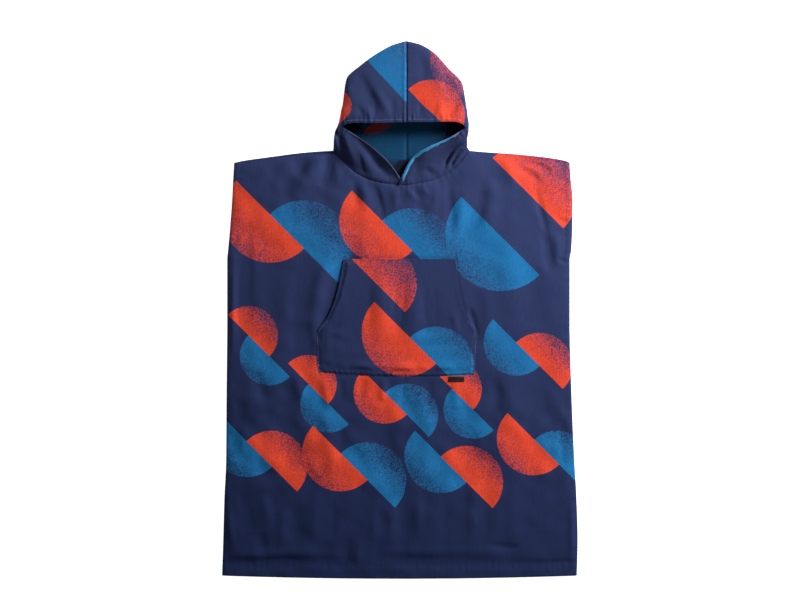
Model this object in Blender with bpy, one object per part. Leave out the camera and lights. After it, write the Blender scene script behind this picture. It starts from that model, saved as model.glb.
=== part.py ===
"""Hooded bath poncho, laid flat and face up on a level surface.

Six sewn pieces, each one closed cloth wall with its own material:

  back_panel       shoulder to hem, flat on the surface
  front_panel      laid on the back panel, with a turned hem and soft folds
  hood_left/right  two halves with a centre seam, folded at the hood's sides
  kangaroo_pocket  laid on the front panel, with two slanted hand openings
  pocket_label     bare tag below the pocket's bottom seam

The frame has +X across the garment, +Y from the hem to the hood and +Z up. The origin is under
the middle of the whole outline, on the surface. Sizes are in millimetres up to the last step,
where a mesh takes its points in metres.
"""

import bpy
import numpy as np

MM = 0.001

# Cloth and seams
WALL = 1.4  # the cloth with its towelling nap
SEAM_GAP = 0.3  # between two pieces that are sewn together
HEM_TURN = 26.0  # depth of the turned hem
HEM_RISE = 0.8  # what the turned hem adds to the wall
HEM_STEP = 1.5  # the hem's upper edge slopes down within this

# Body outline
HALF_LENGTH = 604.5  # from the middle of the outline to the hem and to the hood's peak
HALF_HEM = 399.5
HEM_BOW = 7.0  # the middle of the hem lies this much lower than its corners
HEM_SPANS = 12  # along the back panel's hem
SIDE_SPANS = 34  # rows of the front panel above its hem
COLUMN_FAN = 1.5  # how late the columns of the front panel draw in towards the neckline
NECK_FADE = 3  # how fast the rows below the neckline straighten out
SHOULDER_SPANS = 9
NECK_SPANS = 21
NAPE_SPANS = 6  # on each side of the centre seam
NAPE_DROP = 20.0  # depth of the back neckline

# How far the front panel lies clear of the back one
AIR = 3.0
AIR_FALL = 45.0  # it closes over this width towards the side seams and the shoulders
NECK_LIFT = 4.0  # more where the hood's two edges meet at the throat
NECK_LIFT_REACH = (70.0, 42.0)
POCKET_CLEAR = (14.0, 34.0)  # folds fade in over these distances from the pocket

# Hood
CENTRE_SEAM_X = 14.6
CROWN_ROWS = 13  # from the peak to the brim
BRIM_ROWS = 5
THROAT_ROWS = 10  # from the corners of the face opening to the neck
BOTTOM_Z = WALL / 2
FOLD_ENDS = 0.7  # how fast the hood's folds rise from its seams: a power below 1 is fast
UPPER_TURN = 0.85  # the upper layer lies at least this much over the middle of its side fold
FOLD_ROUNDNESS = 1.15  # width of the lower quarter of a side fold, over its height
RIM_COLUMNS = 3
EDGE_LEAN = 0.3  # share of its slope that the wall keeps at the rim of the face opening
LAP_SPANS = 1  # the right half laps over the left by this many spans of the neckline
LAP_REACH = 46.0  # the lap's rise fades out over this width

# Pocket and label
POCKET_SPANS = (14, 12)
POCKET_PUFF = 1.4
OPENING_LIFT = 2.2  # the hand openings stand this much off the panel
OPENING_EASE = 0.8  # a power below 1 lifts more of the opening's length
OPENING_NEARNESS = 6  # the power that keeps the lift near the opening
LABEL_SIZE = (35.0, 10.5, 1.2)
LABEL_CORNER = (109.0, -150.6)  # its upper left corner

SHARP_ANGLE = np.radians(50)
TOWELLING_ROUGHNESS = 0.85
TAG_ROUGHNESS = 0.6
NAVY = (0.020, 0.026, 0.078)
HOOD_NAVY = (0.034, 0.046, 0.125)
POCKET_NAVY = (0.024, 0.032, 0.092)
TAG_BLACK = (0.006, 0.006, 0.007)


def table(columns, *rows):
    """One array for each named column."""
    return dict(zip(columns.split(), np.array(rows, float).T))


BODY_SIDES = table(
    "y left right",
    (-597.5, -399.5, 397.6),
    (-518.0, -397.0, 399.5),
    (-428.0, -394.5, 397.0),
    (-338.0, -390.5, 392.0),
    (-200.0, -389.5, 386.0),
    (-23.0, -388.0, 381.5),
    (112.0, -388.0, 381.5),
    (134.0, -386.0, 385.0),
    (184.0, -381.5, 387.5),
    (247.0, -377.0, 388.0),
    (294.0, -374.5, 384.0),
    (330.2, -372.4, 381.4),
)

# Both shoulder lines run from the tip to the neck point.
LEFT_SHOULDER = table(
    "x y",
    (-372.4, 330.2),
    (-352.0, 334.7),
    (-305.0, 341.4),
    (-204.0, 354.0),
    (-149.6, 357.2),
)
RIGHT_SHOULDER = table(
    "x y",
    (156.4, 357.2),
    (188.0, 354.4),
    (276.0, 348.0),
    (372.4, 334.7),
    (381.4, 330.2),
)

# The front neckline, by its share of the way from the left neck point to the right one.
NECKLINE = table(
    "along x y",
    (0.00, -149.6, 357.2),
    (0.09, -126.0, 330.0),
    (0.19, -95.0, 304.0),
    (0.30, -60.0, 288.5),
    (0.42, -22.0, 281.5),
    (0.52, 12.0, 280.5),
    (0.63, 46.0, 284.5),
    (0.75, 84.0, 294.0),
    (0.86, 117.0, 313.0),
    (0.94, 138.5, 335.0),
    (1.00, 156.4, 357.2),
)

THROAT = 5  # row of the neckline's lowest point

# Soft folds of the front panel: the line that each runs along, its width, and its height, which is
# less than 0 in a trough.
BODY_FOLDS = table(
    "x0 y0 x1 y1 width height",
    (-160, 150, -172, 22, 19, 4.2),  # beside the left hand opening
    (-172, 22, -196, -40, 18, 3.6),
    (-212, 60, -214, -20, 20, -2.4),
    (-343, 165, -345, 30, 22, -2.2),
    (-366, 110, -364, -80, 17, 2.6),
    (168, 262, 152, 165, 22, -2.3),
    (322, 262, 330, 160, 20, -2.4),
    (330, 160, 342, 96, 20, -2.2),
    (318, 274, 372, 250, 18, 2.8),
    (186, 30, 196, -50, 20, 3.0),  # beside the right hand opening
    (-93, 276, -104, 240, 17, -3.0),
    (-69, 272, -72, 236, 14, 3.2),
    (-45, 268, -36, 200, 17, -3.2),
    (12, 258, 48, 234, 17, 2.6),
    (118, 292, 120, 222, 19, -2.8),
    (92, 282, 90, 250, 16, 2.4),
    (-120, -510, -136, -574, 18, -2.6),
    (-372, -430, -356, -510, 20, 3.0),
    (19, -420, 22, -572, 26, -2.4),
    (170, -395, 172, -525, 24, 3.0),
    (372, -470, 374, -572, 18, 2.4),
    (-330, -556, -170, -560, 15, -2.0),  # the trough above the hem, in uneven lengths
    (-100, -558, 60, -562, 14, -2.0),
    (110, -560, 300, -556, 15, -2.2),
)

# Soft folds of the hood's upper layer.
HOOD_FOLDS = table(
    "x0 y0 x1 y1 width height",
    (-78, 530, -42, 448, 15, -3.4),
    (-104, 508, -92, 470, 16, 2.6),
    (136, 468, 112, 440, 14, -3.0),
    (60, 560, 84, 500, 16, 2.4),
    (-134, 384, -116, 338, 13, -3.4),
    (-100, 346, -92, 322, 12, 3.0),
    (-80, 350, -77, 310, 12, -3.2),
    (-66, 330, -62, 306, 11, 2.6),
    (132, 372, 104, 322, 13, -3.2),
    (118, 366, 92, 318, 11, 2.8),
    (30, 316, 52, 306, 12, 2.6),
)

# Sections of the two hood halves, from the peak to the neck. Each runs from the back seam at back_y
# round the side fold at (side_x, side_y, side_z) to the inner edge at (edge_x, edge_y, edge_z):
# the crown seam, then the brim, then the edge of the face opening.
LEFT_HOOD = table(
    "back_y side_x side_y side_z edge_x edge_y edge_z",
    (593.0, 14.6, 603.8, 4.5, 14.6, 596.0, 8.2),
    (572.0, -13.0, 596.0, 6.5, 14.6, 575.0, 13.5),
    (546.0, -49.0, 577.0, 8.5, 14.6, 548.0, 18.5),
    (513.0, -87.0, 549.5, 10.5, 14.6, 515.0, 24.0),
    (479.0, -119.5, 518.0, 13.0, 14.6, 480.0, 29.0),
    (449.0, -125.5, 482.0, 15.5, 14.6, 450.0, 32.5),
    (430.0, -128.0, 461.0, 17.5, 14.6, 420.5, 35.0),
    (419.0, -131.0, 449.0, 19.0, -42.0, 418.5, 34.5),
    (408.0, -136.0, 435.0, 19.5, -96.0, 416.0, 32.0),
    (397.0, -142.0, 416.0, 18.0, -128.5, 408.5, 28.0),
    (383.0, -145.5, 399.0, 15.5, -99.0, 392.5, 26.5),
    (367.0, -147.8, 382.0, 11.5, -64.0, 367.5, 22.5),
    (352.0, -148.6, 368.0, 6.0, -24.0, 331.0, 15.5),
    (337.2, -149.6, 357.2, 1.55, 10.0, 281.0, 8.5),
)
RIGHT_HOOD = table(
    "back_y side_x side_y side_z edge_x edge_y edge_z",
    (593.0, 14.6, 603.8, 4.5, 14.6, 596.0, 8.2),
    (572.0, 42.5, 597.0, 6.5, 14.6, 575.0, 13.5),
    (546.0, 73.0, 578.0, 8.5, 14.6, 548.0, 18.5),
    (513.0, 108.0, 543.0, 10.5, 14.6, 515.0, 24.0),
    (479.0, 138.0, 506.0, 13.0, 14.6, 480.0, 29.0),
    (449.0, 146.0, 475.0, 16.0, 14.6, 450.0, 32.5),
    (430.0, 149.0, 455.0, 18.0, 14.6, 420.5, 35.0),
    (419.0, 150.5, 445.0, 19.5, 68.0, 421.0, 35.0),
    (408.0, 151.8, 433.0, 20.5, 116.0, 421.5, 33.0),
    (397.0, 152.6, 414.0, 19.0, 143.0, 405.0, 29.0),
    (383.0, 151.8, 399.0, 16.5, 108.0, 380.0, 26.5),
    (367.0, 149.6, 382.0, 12.0, 68.0, 361.5, 22.5),
    (352.0, 150.6, 368.0, 6.0, 31.0, 334.0, 15.5),
    (337.2, 156.4, 357.2, 1.55, -4.0, 281.0, 8.5),
)
BRIM_CENTRE, MOUTH_CORNER = 6, 9  # rows of both tables where the inner edge turns
NECK_BLEND_ROW = 9  # from here the sections bend more and more towards the necklines

# Shares of the way from the side fold, close together where the cloth turns round it.
LOWER_STOPS = (0, 0.018, 0.067, 0.12, *(k / NAPE_SPANS for k in range(1, NAPE_SPANS + 1)))
UPPER_FOLD_STOPS = (0, 0.012, 0.042)

# Sections of the pocket, from its bottom seam to its top.
POCKET = table(
    "up left_x left_y right_x right_y",
    (0.00, -181.0, -141.8, 169.5, -146.5),
    (0.10, -185.5, -124.5, 169.5, -131.0),
    (0.28, -186.5, -52.0, 172.0, -60.0),
    (0.34, -181.0, -41.0, 169.0, -44.0),
    (0.45, -163.5, -18.0, 156.0, -18.0),
    (0.60, -145.0, 25.0, 141.0, 15.0),
    (0.80, -133.5, 71.0, 130.5, 60.0),
    (1.00, -126.0, 114.0, 125.0, 114.0),
)
OPENING_FOOT = 0.28  # the hand openings reach from here up to the top seam
POCKET_BOTTOM_BOW = 6.0


def smooth(stations, values, at, kinks=()):
    """The values at these stations, on cubic pieces through the table's points.

    The slope at a point follows the spans beside it without overshoot, and breaks at a kink.
    """
    spans = np.diff(stations)
    rates = np.diff(values) / spans
    before, after = rates[:-1], rates[1:]
    turns = before * after <= 0
    shared = np.where(turns, 0, 2 * before * after / np.where(turns, 1, before + after))
    arriving = np.concatenate([rates[:1], shared, rates[-1:]])
    leaving = arriving.copy()
    for kink in kinks:
        arriving[kink], leaving[kink] = rates[kink - 1], rates[kink]
    span = np.clip(np.searchsorted(stations, at, side="right") - 1, 0, len(spans) - 1)
    t = (at - stations[span]) / spans[span]
    ends = values[span] * (1 + 2 * t) * (1 - t) ** 2 + values[span + 1] * t**2 * (3 - 2 * t)
    slopes = leaving[span] * t * (1 - t) ** 2 - arriving[span + 1] * t**2 * (1 - t)
    return ends + spans[span] * slopes


def ramp(value, start, end):
    """0 before start, 1 after end and a smooth step between them."""
    t = np.clip((value - start) / (end - start), 0, 1)
    return t * t * (3 - 2 * t)


def mix(a, b, share):
    return a + (b - a) * share


def distance_to_line(x, y, x0, y0, x1, y1):
    """Distance of each point in plan from the stretch between two ends."""
    run, rise = x1 - x0, y1 - y0
    t = np.clip(((x - x0) * run + (y - y0) * rise) / (run**2 + rise**2), 0, 1)
    return np.hypot(x - x0 - t * run, y - y0 - t * rise)


def fold_height(folds, x, y):
    """Sum of the folds' soft ridges and troughs over each point."""
    total = np.zeros_like(x)
    for x0, y0, x1, y1, width, height in zip(*folds.values()):
        total += height * np.exp(-((distance_to_line(x, y, x0, y0, x1, y1) / width) ** 2))
    return total


def moved_aside(line, distance):
    """A line of plan points moved to its left by this distance, keeping its corners in step."""
    along = np.gradient(line, axis=0)
    normal = np.stack([-along[:, 1], along[:, 0]], axis=1)
    return line + distance * normal / np.linalg.norm(normal, axis=1, keepdims=True)


# Plan outline


def body_sides(y):
    """Left and right edge of the body at this height of the plan."""
    y = np.clip(y, BODY_SIDES["y"][0], BODY_SIDES["y"][-1])
    return (
        smooth(BODY_SIDES["y"], BODY_SIDES["left"], y),
        smooth(BODY_SIDES["y"], BODY_SIDES["right"], y),
    )


def hem_y(x):
    return -HALF_LENGTH + HEM_BOW * (x / HALF_HEM) ** 2


def shoulder_line(shoulder):
    """Points of one shoulder seam, both ends among them."""
    x = np.linspace(shoulder["x"][0], shoulder["x"][-1], SHOULDER_SPANS + 1)
    return np.stack([x, smooth(shoulder["x"], shoulder["y"], x)], axis=1)


def neck_line():
    """Points of the front neckline at even steps, from the left neck point to the right one."""
    along = NECKLINE["along"]
    fine = np.linspace(0, 1, NECK_SPANS * 20)
    x, y = smooth(along, NECKLINE["x"], fine), smooth(along, NECKLINE["y"], fine)
    run = np.concatenate([[0], np.cumsum(np.hypot(np.diff(x), np.diff(y)))])
    even = np.linspace(0, run[-1], NECK_SPANS + 1)
    return np.stack([np.interp(even, run, x), np.interp(even, run, y)], axis=1)


def nape_line(neck_point):
    """Points of the back neckline from a neck point to the centre seam."""
    share = np.linspace(0, 1, NAPE_SPANS + 1)
    x = mix(neck_point[0], CENTRE_SEAM_X, share)
    return np.stack([x, neck_point[1] - NAPE_DROP * (1 - (1 - share) ** 2)], axis=1)


# Front panel


def pocket_sides(y):
    """Left and right edge of the pocket at this height of the plan."""
    left = np.interp(y, POCKET["left_y"], POCKET["left_x"])
    return left, np.interp(y, POCKET["right_y"], POCKET["right_x"])


def beyond_pocket(x, y):
    """How far each point lies outside the pocket, less than 0 inside it."""
    left, right = pocket_sides(y)
    low, high = POCKET["left_y"][0] - POCKET_BOTTOM_BOW, POCKET["left_y"][-1]
    return np.maximum(np.maximum(left - x, x - right), np.maximum(low - y, y - high))


def front_underside(x, y):
    """Height of the front panel's lower face."""
    left, right = body_sides(y)
    edge = np.minimum(x - left, right - x)
    for shoulder in (LEFT_SHOULDER, RIGHT_SHOULDER):
        (x0, x1), (y0, y1) = shoulder["x"][[0, -1]], shoulder["y"][[0, -1]]
        edge = np.minimum(edge, distance_to_line(x, y, x0, y0, x1, y1))
    air = AIR * ramp(edge, 0, AIR_FALL)
    throat_x, throat_y = NECKLINE["x"][THROAT], NECKLINE["y"][THROAT]
    reach_x, reach_y = NECK_LIFT_REACH
    lift = np.exp(-(((x - throat_x) / reach_x) ** 2) - ((y - throat_y) / reach_y) ** 2)
    folds = fold_height(BODY_FOLDS, x, y) * ramp(edge, 0, AIR_FALL / 2)
    free = ramp(beyond_pocket(x, y), *POCKET_CLEAR)
    return WALL + SEAM_GAP + np.maximum(0, air + NECK_LIFT * lift + folds * free)


def front_grid():
    """Plan points of the front panel, a row for each step from the hem to the top edge."""
    neck = moved_aside(neck_line(), -SEAM_GAP / 2)
    top = np.concatenate([shoulder_line(LEFT_SHOULDER)[:-1], neck, shoulder_line(RIGHT_SHOULDER)[1:]])
    left, right = body_sides(top[:, 1])
    top_share = (top[:, 0] - left) / (right - left)
    hem_share = np.linspace(0, 1, len(top))
    level = top[SHOULDER_SPANS, 1]
    turn = HEM_TURN / (level + HALF_LENGTH)
    step = HEM_STEP / (level + HALF_LENGTH)
    rise = np.concatenate([[0, turn], np.linspace(turn + step, 1, SIDE_SPANS + 1)])[:, None]
    share = mix(hem_share, top_share, rise**COLUMN_FAN)
    x = mix(-HALF_HEM, HALF_HEM, share)
    for _ in range(2):
        y = mix(hem_y(x), level, rise) - (level - top[:, 1]) * rise**NECK_FADE
        left, right = body_sides(y)
        x = mix(left, right, share)
    return x, y


def front_panel():
    x, y = front_grid()
    low = front_underside(x, y)
    wall = np.full_like(x, WALL)
    wall[:2] += HEM_RISE
    return np.stack([x, y, low + wall], axis=-1), np.stack([x, y, low], axis=-1)


# Back panel


def back_outline():
    """Corner points of the back panel, once round."""
    sides = BODY_SIDES["y"]
    left, right = body_sides(sides)
    across = np.linspace(-HALF_HEM, right[0], HEM_SPANS + 1)[1:-1]
    hem = np.stack([across, hem_y(across)], axis=1)
    left_neck, right_neck = shoulder_line(LEFT_SHOULDER)[-1], shoulder_line(RIGHT_SHOULDER)[0]
    left_nape = moved_aside(nape_line(left_neck), -SEAM_GAP / 2)
    right_nape = moved_aside(nape_line(right_neck), SEAM_GAP / 2)
    up = np.stack([right, sides], axis=1)
    down = np.stack([left, sides], axis=1)[::-1]
    right_top = shoulder_line(RIGHT_SHOULDER)[1:-1][::-1]
    left_top = shoulder_line(LEFT_SHOULDER)[1:-1][::-1]
    return np.concatenate([hem, up, right_top, right_nape, left_nape[::-1][1:], left_top, down])


# Hood


def hood_sections(sections):
    """The table's columns at each row of the half's grid. Rows fall on the turns of the inner edge."""
    stations = np.arange(len(sections["back_y"]), dtype=float)
    crown = np.linspace(0, BRIM_CENTRE, CROWN_ROWS)
    brim = np.linspace(BRIM_CENTRE, MOUTH_CORNER, BRIM_ROWS + 1)[1:]
    throat = np.linspace(MOUTH_CORNER, stations[-1], THROAT_ROWS + 1)[1:]
    rows = np.concatenate([crown, brim, throat])
    found = {}
    for name, values in sections.items():
        kinks = (BRIM_CENTRE, MOUTH_CORNER) if name.startswith("edge") else ()
        found[name] = smooth(stations, values, rows, kinks)[:, None]
    found["bend"] = ramp(rows, NECK_BLEND_ROW, stations[-1])[:, None]
    return found


def bent(start, end, share, line, bend):
    """Plan points between two ends, bent towards a line of points that has its own even steps."""
    steps = np.linspace(0, 1, len(line))
    chord = [mix(line[0][k], line[-1][k], share) for k in (0, 1)]
    off = [np.interp(share, steps, line[:, k]) - chord[k] for k in (0, 1)]
    return [mix(start[k], end[k], share) + bend * off[k] for k in (0, 1)]


def round_rise(share):
    """Rise of a quarter ellipse: upright at 0 and level at 1."""
    return np.sqrt(np.maximum(0, 1 - (1 - np.clip(share, 0, 1)) ** 2))


def hood_middle(sections, neck, nape):
    """Middle surface of a half: from the back seam, round the side fold, to the inner edge."""
    s = hood_sections(sections)
    s["side_x"][-1], s["side_y"][-1] = neck[0]
    s["edge_x"][-1], s["edge_y"][-1] = neck[-1]
    side, edge = (s["side_x"], s["side_y"]), (s["edge_x"], s["edge_y"])
    back = (np.full_like(s["back_y"], nape[-1][0]), s["back_y"])
    back[1][-1] = nape[-1][1]

    lower = np.array(LOWER_STOPS[:0:-1])[None, :]
    x, y = bent(side, back, lower, nape, s["bend"])
    width = np.hypot(back[0] - side[0], back[1] - side[1])
    fold = np.minimum(FOLD_ROUNDNESS * s["side_z"], width)
    z = mix(s["side_z"], BOTTOM_Z, round_rise(lower * width / fold))
    under = np.stack([x, y, z], axis=-1)

    spans = len(neck) - 1
    upper = np.array([*UPPER_FOLD_STOPS, *(k / spans for k in range(1, spans + 1))])[None, :]
    x, y = bent(side, edge, upper, neck, s["bend"])
    seam_z = np.maximum(front_underside(x, y) + WALL / 2, s["side_z"] + UPPER_TURN)
    top = mix(s["edge_z"], seam_z, s["bend"] ** 2)
    z = mix(s["side_z"], top, round_rise(upper / mix(1, UPPER_FOLD_STOPS[1], s["bend"])))
    z += fold_height(HOOD_FOLDS, x, y) * np.sin(np.pi * upper) ** FOLD_ENDS * (1 - s["bend"])
    return np.concatenate([under, np.stack([x, y, z], axis=-1)], axis=1)


def wall_directions(middle, turn):
    """Unit normals of a grid that point away from the hood's inside.

    Along a seam they stay in the seam's own upright plane, so that the gap is even through the wall.
    """
    down, along = np.gradient(middle, axis=0), np.gradient(middle, axis=1)
    normals = turn * np.cross(down, along)
    normals /= np.linalg.norm(normals, axis=-1, keepdims=True) + 1e-9
    for _ in range(2):  # eases the turn at the corners of the face opening
        normals[1:-1] = (normals[:-2] + 2 * normals[1:-1] + normals[2:]) / 4
    normals[CROWN_ROWS:, -RIM_COLUMNS:, :2] *= EDGE_LEAN
    for line, tangent in ((np.s_[0], along[0]), (np.s_[:CROWN_ROWS, -1], down[:CROWN_ROWS, -1])):
        normals[line] = np.stack([np.zeros(len(tangent)), tangent[:, 2], -tangent[:, 1]], axis=1)
    normals[:, 0] = (0, 0, -1)
    seam = along[-1] * (1, 1, 0)
    seam[len(LOWER_STOPS) - 1] = (1, 0, 0)  # square to the neckline where the cloth turns
    seam /= np.linalg.norm(seam, axis=1, keepdims=True)
    across = np.stack([-seam[:, 1], seam[:, 0], 0 * seam[:, 0]], axis=1)
    normals[-1] -= across * np.sum(normals[-1] * across, axis=1, keepdims=True)
    return normals / np.linalg.norm(normals, axis=-1, keepdims=True)


def hood_half(side):
    """Outer and inner face of the left half for side -1, and of the right half for side +1."""
    neck = moved_aside(neck_line(), SEAM_GAP / 2)
    middle_span = NECK_SPANS // 2
    shoulder = LEFT_SHOULDER if side < 0 else RIGHT_SHOULDER
    neck_point = shoulder_line(shoulder)[-1 if side < 0 else 0]
    nape = moved_aside(nape_line(neck_point), -side * SEAM_GAP / 2)
    nape[:, 0] += np.where(np.arange(NAPE_SPANS + 1) == NAPE_SPANS, side * SEAM_GAP / 2, 0)
    if side < 0:
        neck, sections = neck[: middle_span + LAP_SPANS + 1], LEFT_HOOD
    else:
        neck, sections = neck[: middle_span - 1 : -1], RIGHT_HOOD
    nape[0] = neck[0]
    middle = hood_middle(sections, neck, nape)
    seam_x = CENTRE_SEAM_X + side * SEAM_GAP / 2
    crown = np.s_[:CROWN_ROWS, :, 0]
    middle[crown] = side * np.maximum(side * middle[crown], side * seam_x)
    middle[:, 0, 0] = seam_x
    if side > 0:
        lapped = np.s_[CROWN_ROWS + BRIM_ROWS :, len(LOWER_STOPS) - 1 :]
        near = ramp(neck[-1][0] + LAP_REACH - middle[lapped][..., 0], 0, LAP_REACH / 2)
        middle[lapped][..., 2] += (WALL + 2 * SEAM_GAP) * near
    normals = wall_directions(middle, -side)
    outer = middle + normals * WALL / 2
    outer[..., 2] = np.maximum(outer[..., 2], 0)
    return outer, middle - normals * WALL / 2


# Pocket and label


def pocket():
    across, up = (np.linspace(0, 1, spans + 1) for spans in POCKET_SPANS)
    up = up[:, None]
    left_x, left_y, right_x, right_y = (
        smooth(POCKET["up"], POCKET[name], up) for name in ("left_x", "left_y", "right_x", "right_y")
    )
    x = mix(left_x, right_x, across)
    y = mix(left_y, right_y, across) - POCKET_BOTTOM_BOW * (1 - up) * np.sin(np.pi * across)
    opening = np.sin(np.pi * np.clip((up - OPENING_FOOT) / (1 - OPENING_FOOT), 0, 1)) ** OPENING_EASE
    nearness = np.maximum(1 - across, across) ** OPENING_NEARNESS
    puff = POCKET_PUFF * np.sin(np.pi * across) * np.sin(np.pi * up)
    low = front_underside(x, y) + WALL + SEAM_GAP + puff + OPENING_LIFT * opening * nearness
    return np.stack([x, y, low + WALL], axis=-1), np.stack([x, y, low], axis=-1)


def label():
    width, depth, thickness = LABEL_SIZE
    x, y = np.meshgrid(
        LABEL_CORNER[0] + np.linspace(0, width, 5), LABEL_CORNER[1] + np.linspace(-depth, 0, 3)
    )
    low = front_underside(x, y) + WALL + SEAM_GAP
    return np.stack([x, y, low + thickness], axis=-1), np.stack([x, y, low], axis=-1)


# Meshes


def finish(name, points, faces, colour, roughness):
    """One object with its own material, smooth but for its rim."""
    mesh = bpy.data.meshes.new(name)
    mesh.from_pydata((points * MM).tolist(), [], faces)
    mesh.validate()
    mesh.shade_smooth()
    mesh.set_sharp_from_angle(angle=SHARP_ANGLE)
    material = bpy.data.materials.new(name)
    material.use_nodes = True
    shader = material.node_tree.nodes["Principled BSDF"]
    shader.inputs["Base Color"].default_value = (*colour, 1)
    shader.inputs["Roughness"].default_value = roughness
    mesh.materials.append(material)
    part = bpy.data.objects.new(name, mesh)
    bpy.context.scene.collection.objects.link(part)
    return part


def cloth(name, faces_of_wall, colour, roughness=TOWELLING_ROUGHNESS):
    """A closed wall between an outer and an inner grid of points that match."""
    outer, inner = faces_of_wall
    rows, columns = outer.shape[:2]
    over = np.arange(rows * columns).reshape(rows, columns)
    under = over + rows * columns
    faces = []
    for r in range(rows - 1):
        for c in range(columns - 1):
            for grid, step in ((over, 1), (under, -1)):
                a, b, d, e = grid[r, c], grid[r, c + 1], grid[r + 1, c + 1], grid[r + 1, c]
                faces += [(a, b, d)[::step], (a, d, e)[::step]]
    rim = [*zip(*(grid_rim(grid) for grid in (over, under)))]
    for (a, b), (d, e) in zip(rim, rim[1:] + rim[:1]):
        faces += [(a, b, e), (a, e, d)]
    points = np.concatenate([outer.reshape(-1, 3), inner.reshape(-1, 3)])
    faces = np.array(faces)
    if np.linalg.det(points[faces]).sum() < 0:  # inside out
        faces = faces[:, ::-1]
    return finish(name, points, faces.tolist(), colour, roughness)


def grid_rim(grid):
    """Indices round the edge of a grid, once."""
    return [*grid[0], *grid[1:, -1], *grid[-1, -2::-1], *grid[-2:0:-1, 0]]


def flat_cloth(name, outline, colour):
    """A flat wall that lies on the surface, from its outline in plan."""
    count = len(outline)
    lower = np.column_stack([outline, np.zeros(count)])
    upper = np.column_stack([outline, np.full(count, WALL)])
    faces = [tuple(range(count, 2 * count)), tuple(range(count - 1, -1, -1))]
    faces += [(i, (i + 1) % count, (i + 1) % count + count, i + count) for i in range(count)]
    return finish(name, np.concatenate([lower, upper]), faces, colour, TOWELLING_ROUGHNESS)


def main():
    for old in list(bpy.data.objects):
        bpy.data.objects.remove(old)
    flat_cloth("back_panel", back_outline(), NAVY)
    cloth("front_panel", front_panel(), NAVY)
    cloth("hood_left", hood_half(-1), HOOD_NAVY)
    cloth("hood_right", hood_half(+1), HOOD_NAVY)
    cloth("kangaroo_pocket", pocket(), POCKET_NAVY)
    cloth("pocket_label", label(), TAG_BLACK, roughness=TAG_ROUGHNESS)


if __name__ == "__main__":
    main()
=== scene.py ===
"""Looks of a hooded bath poncho that lies flat and face up.

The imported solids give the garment's form and sizes. Each of them is replaced by a finer sheet of
the same form, with turned hems, soft creases and the puckers that stitches draw, and is dressed as
printed microfibre towelling. Rows of stitches follow the seams. Lengths are in millimetres up to
the point where a mesh is made.
"""

import logging
from dataclasses import dataclass, field
from enum import Enum
from typing import Any

import bpy
import numpy as np
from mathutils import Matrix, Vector
from mathutils.bvhtree import BVHTree


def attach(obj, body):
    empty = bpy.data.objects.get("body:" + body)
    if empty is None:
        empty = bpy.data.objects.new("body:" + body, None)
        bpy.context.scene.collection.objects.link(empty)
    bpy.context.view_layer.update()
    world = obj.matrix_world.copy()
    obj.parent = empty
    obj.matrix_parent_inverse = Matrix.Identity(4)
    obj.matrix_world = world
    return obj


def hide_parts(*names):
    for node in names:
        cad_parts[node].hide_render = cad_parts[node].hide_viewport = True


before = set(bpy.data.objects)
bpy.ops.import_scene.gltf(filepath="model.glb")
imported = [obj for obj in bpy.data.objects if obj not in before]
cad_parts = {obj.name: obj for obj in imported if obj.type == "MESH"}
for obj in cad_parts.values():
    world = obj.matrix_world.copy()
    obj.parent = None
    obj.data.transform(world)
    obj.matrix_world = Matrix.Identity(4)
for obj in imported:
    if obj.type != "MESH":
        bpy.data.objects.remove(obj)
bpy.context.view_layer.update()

LOG = logging.getLogger("poncho")
BODY = "root"
MM = 0.001

Array = np.ndarray
Table = dict[str, Array]
Tree = bpy.types.NodeTree
Socket = bpy.types.NodeSocket
Material = bpy.types.Material
Piece = bpy.types.Object
Node = bpy.types.Node
Pair = tuple[float, float]

WALL = 1.4  # the towelling with its nap
SEAM_GAP = 0.3  # between two pieces that are sewn together
CUT_MAP = "cut"  # UV map: where each point lay on the flat cloth, in metres
INSIDE_MARK = "inside"  # 1 on the towelling's loop side
TURNED_MARK = "turned"  # 1 where a hem's turned edge rolls into view
WAVE_LENGTH = 2 * np.pi / 20  # of Blender's wave texture at scale 1, in metres


class Side(Enum):
    """The wearer's two sides, as seen from the front."""

    LEFT = -1
    RIGHT = 1


def table(columns: str, *rows: tuple[float, ...]) -> Table:
    """One array for each named column. What a row leaves out at its end is 0."""
    names = columns.split()
    return dict(zip(names, np.array([(*row, *[0] * (len(names) - len(row))) for row in rows], float).T))


# The body's cut. Both shoulder lines run from the tip to the neck point.
BODY_SIDES = table(
    "y left right",
    (-597.5, -399.5, 397.6),
    (-518, -397, 399.5),
    (-428, -394.5, 397),
    (-338, -390.5, 392),
    (-200, -389.5, 386),
    (-23, -388, 381.5),
    (112, -388, 381.5),
    (134, -386, 385),
    (184, -381.5, 387.5),
    (247, -377, 388),
    (294, -374.5, 384),
    (330.2, -372.4, 381.4),
)
LEFT_SHOULDER = table(
    "x y", (-372.4, 330.2), (-352, 334.7), (-305, 341.4), (-204, 354), (-149.6, 357.2)
)
RIGHT_SHOULDER = table(
    "x y", (156.4, 357.2), (188, 354.4), (276, 348), (372.4, 334.7), (381.4, 330.2)
)
NECKLINE = table(
    "along x y",
    (0.00, -149.6, 357.2),
    (0.09, -126, 330),
    (0.19, -95, 304),
    (0.30, -60, 288.5),
    (0.42, -22, 281.5),
    (0.52, 12, 280.5),
    (0.63, 46, 284.5),
    (0.75, 84, 294),
    (0.86, 117, 313),
    (0.94, 138.5, 335),
    (1.00, 156.4, 357.2),
)
THROAT = 5  # row of the neckline's lowest point

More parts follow.
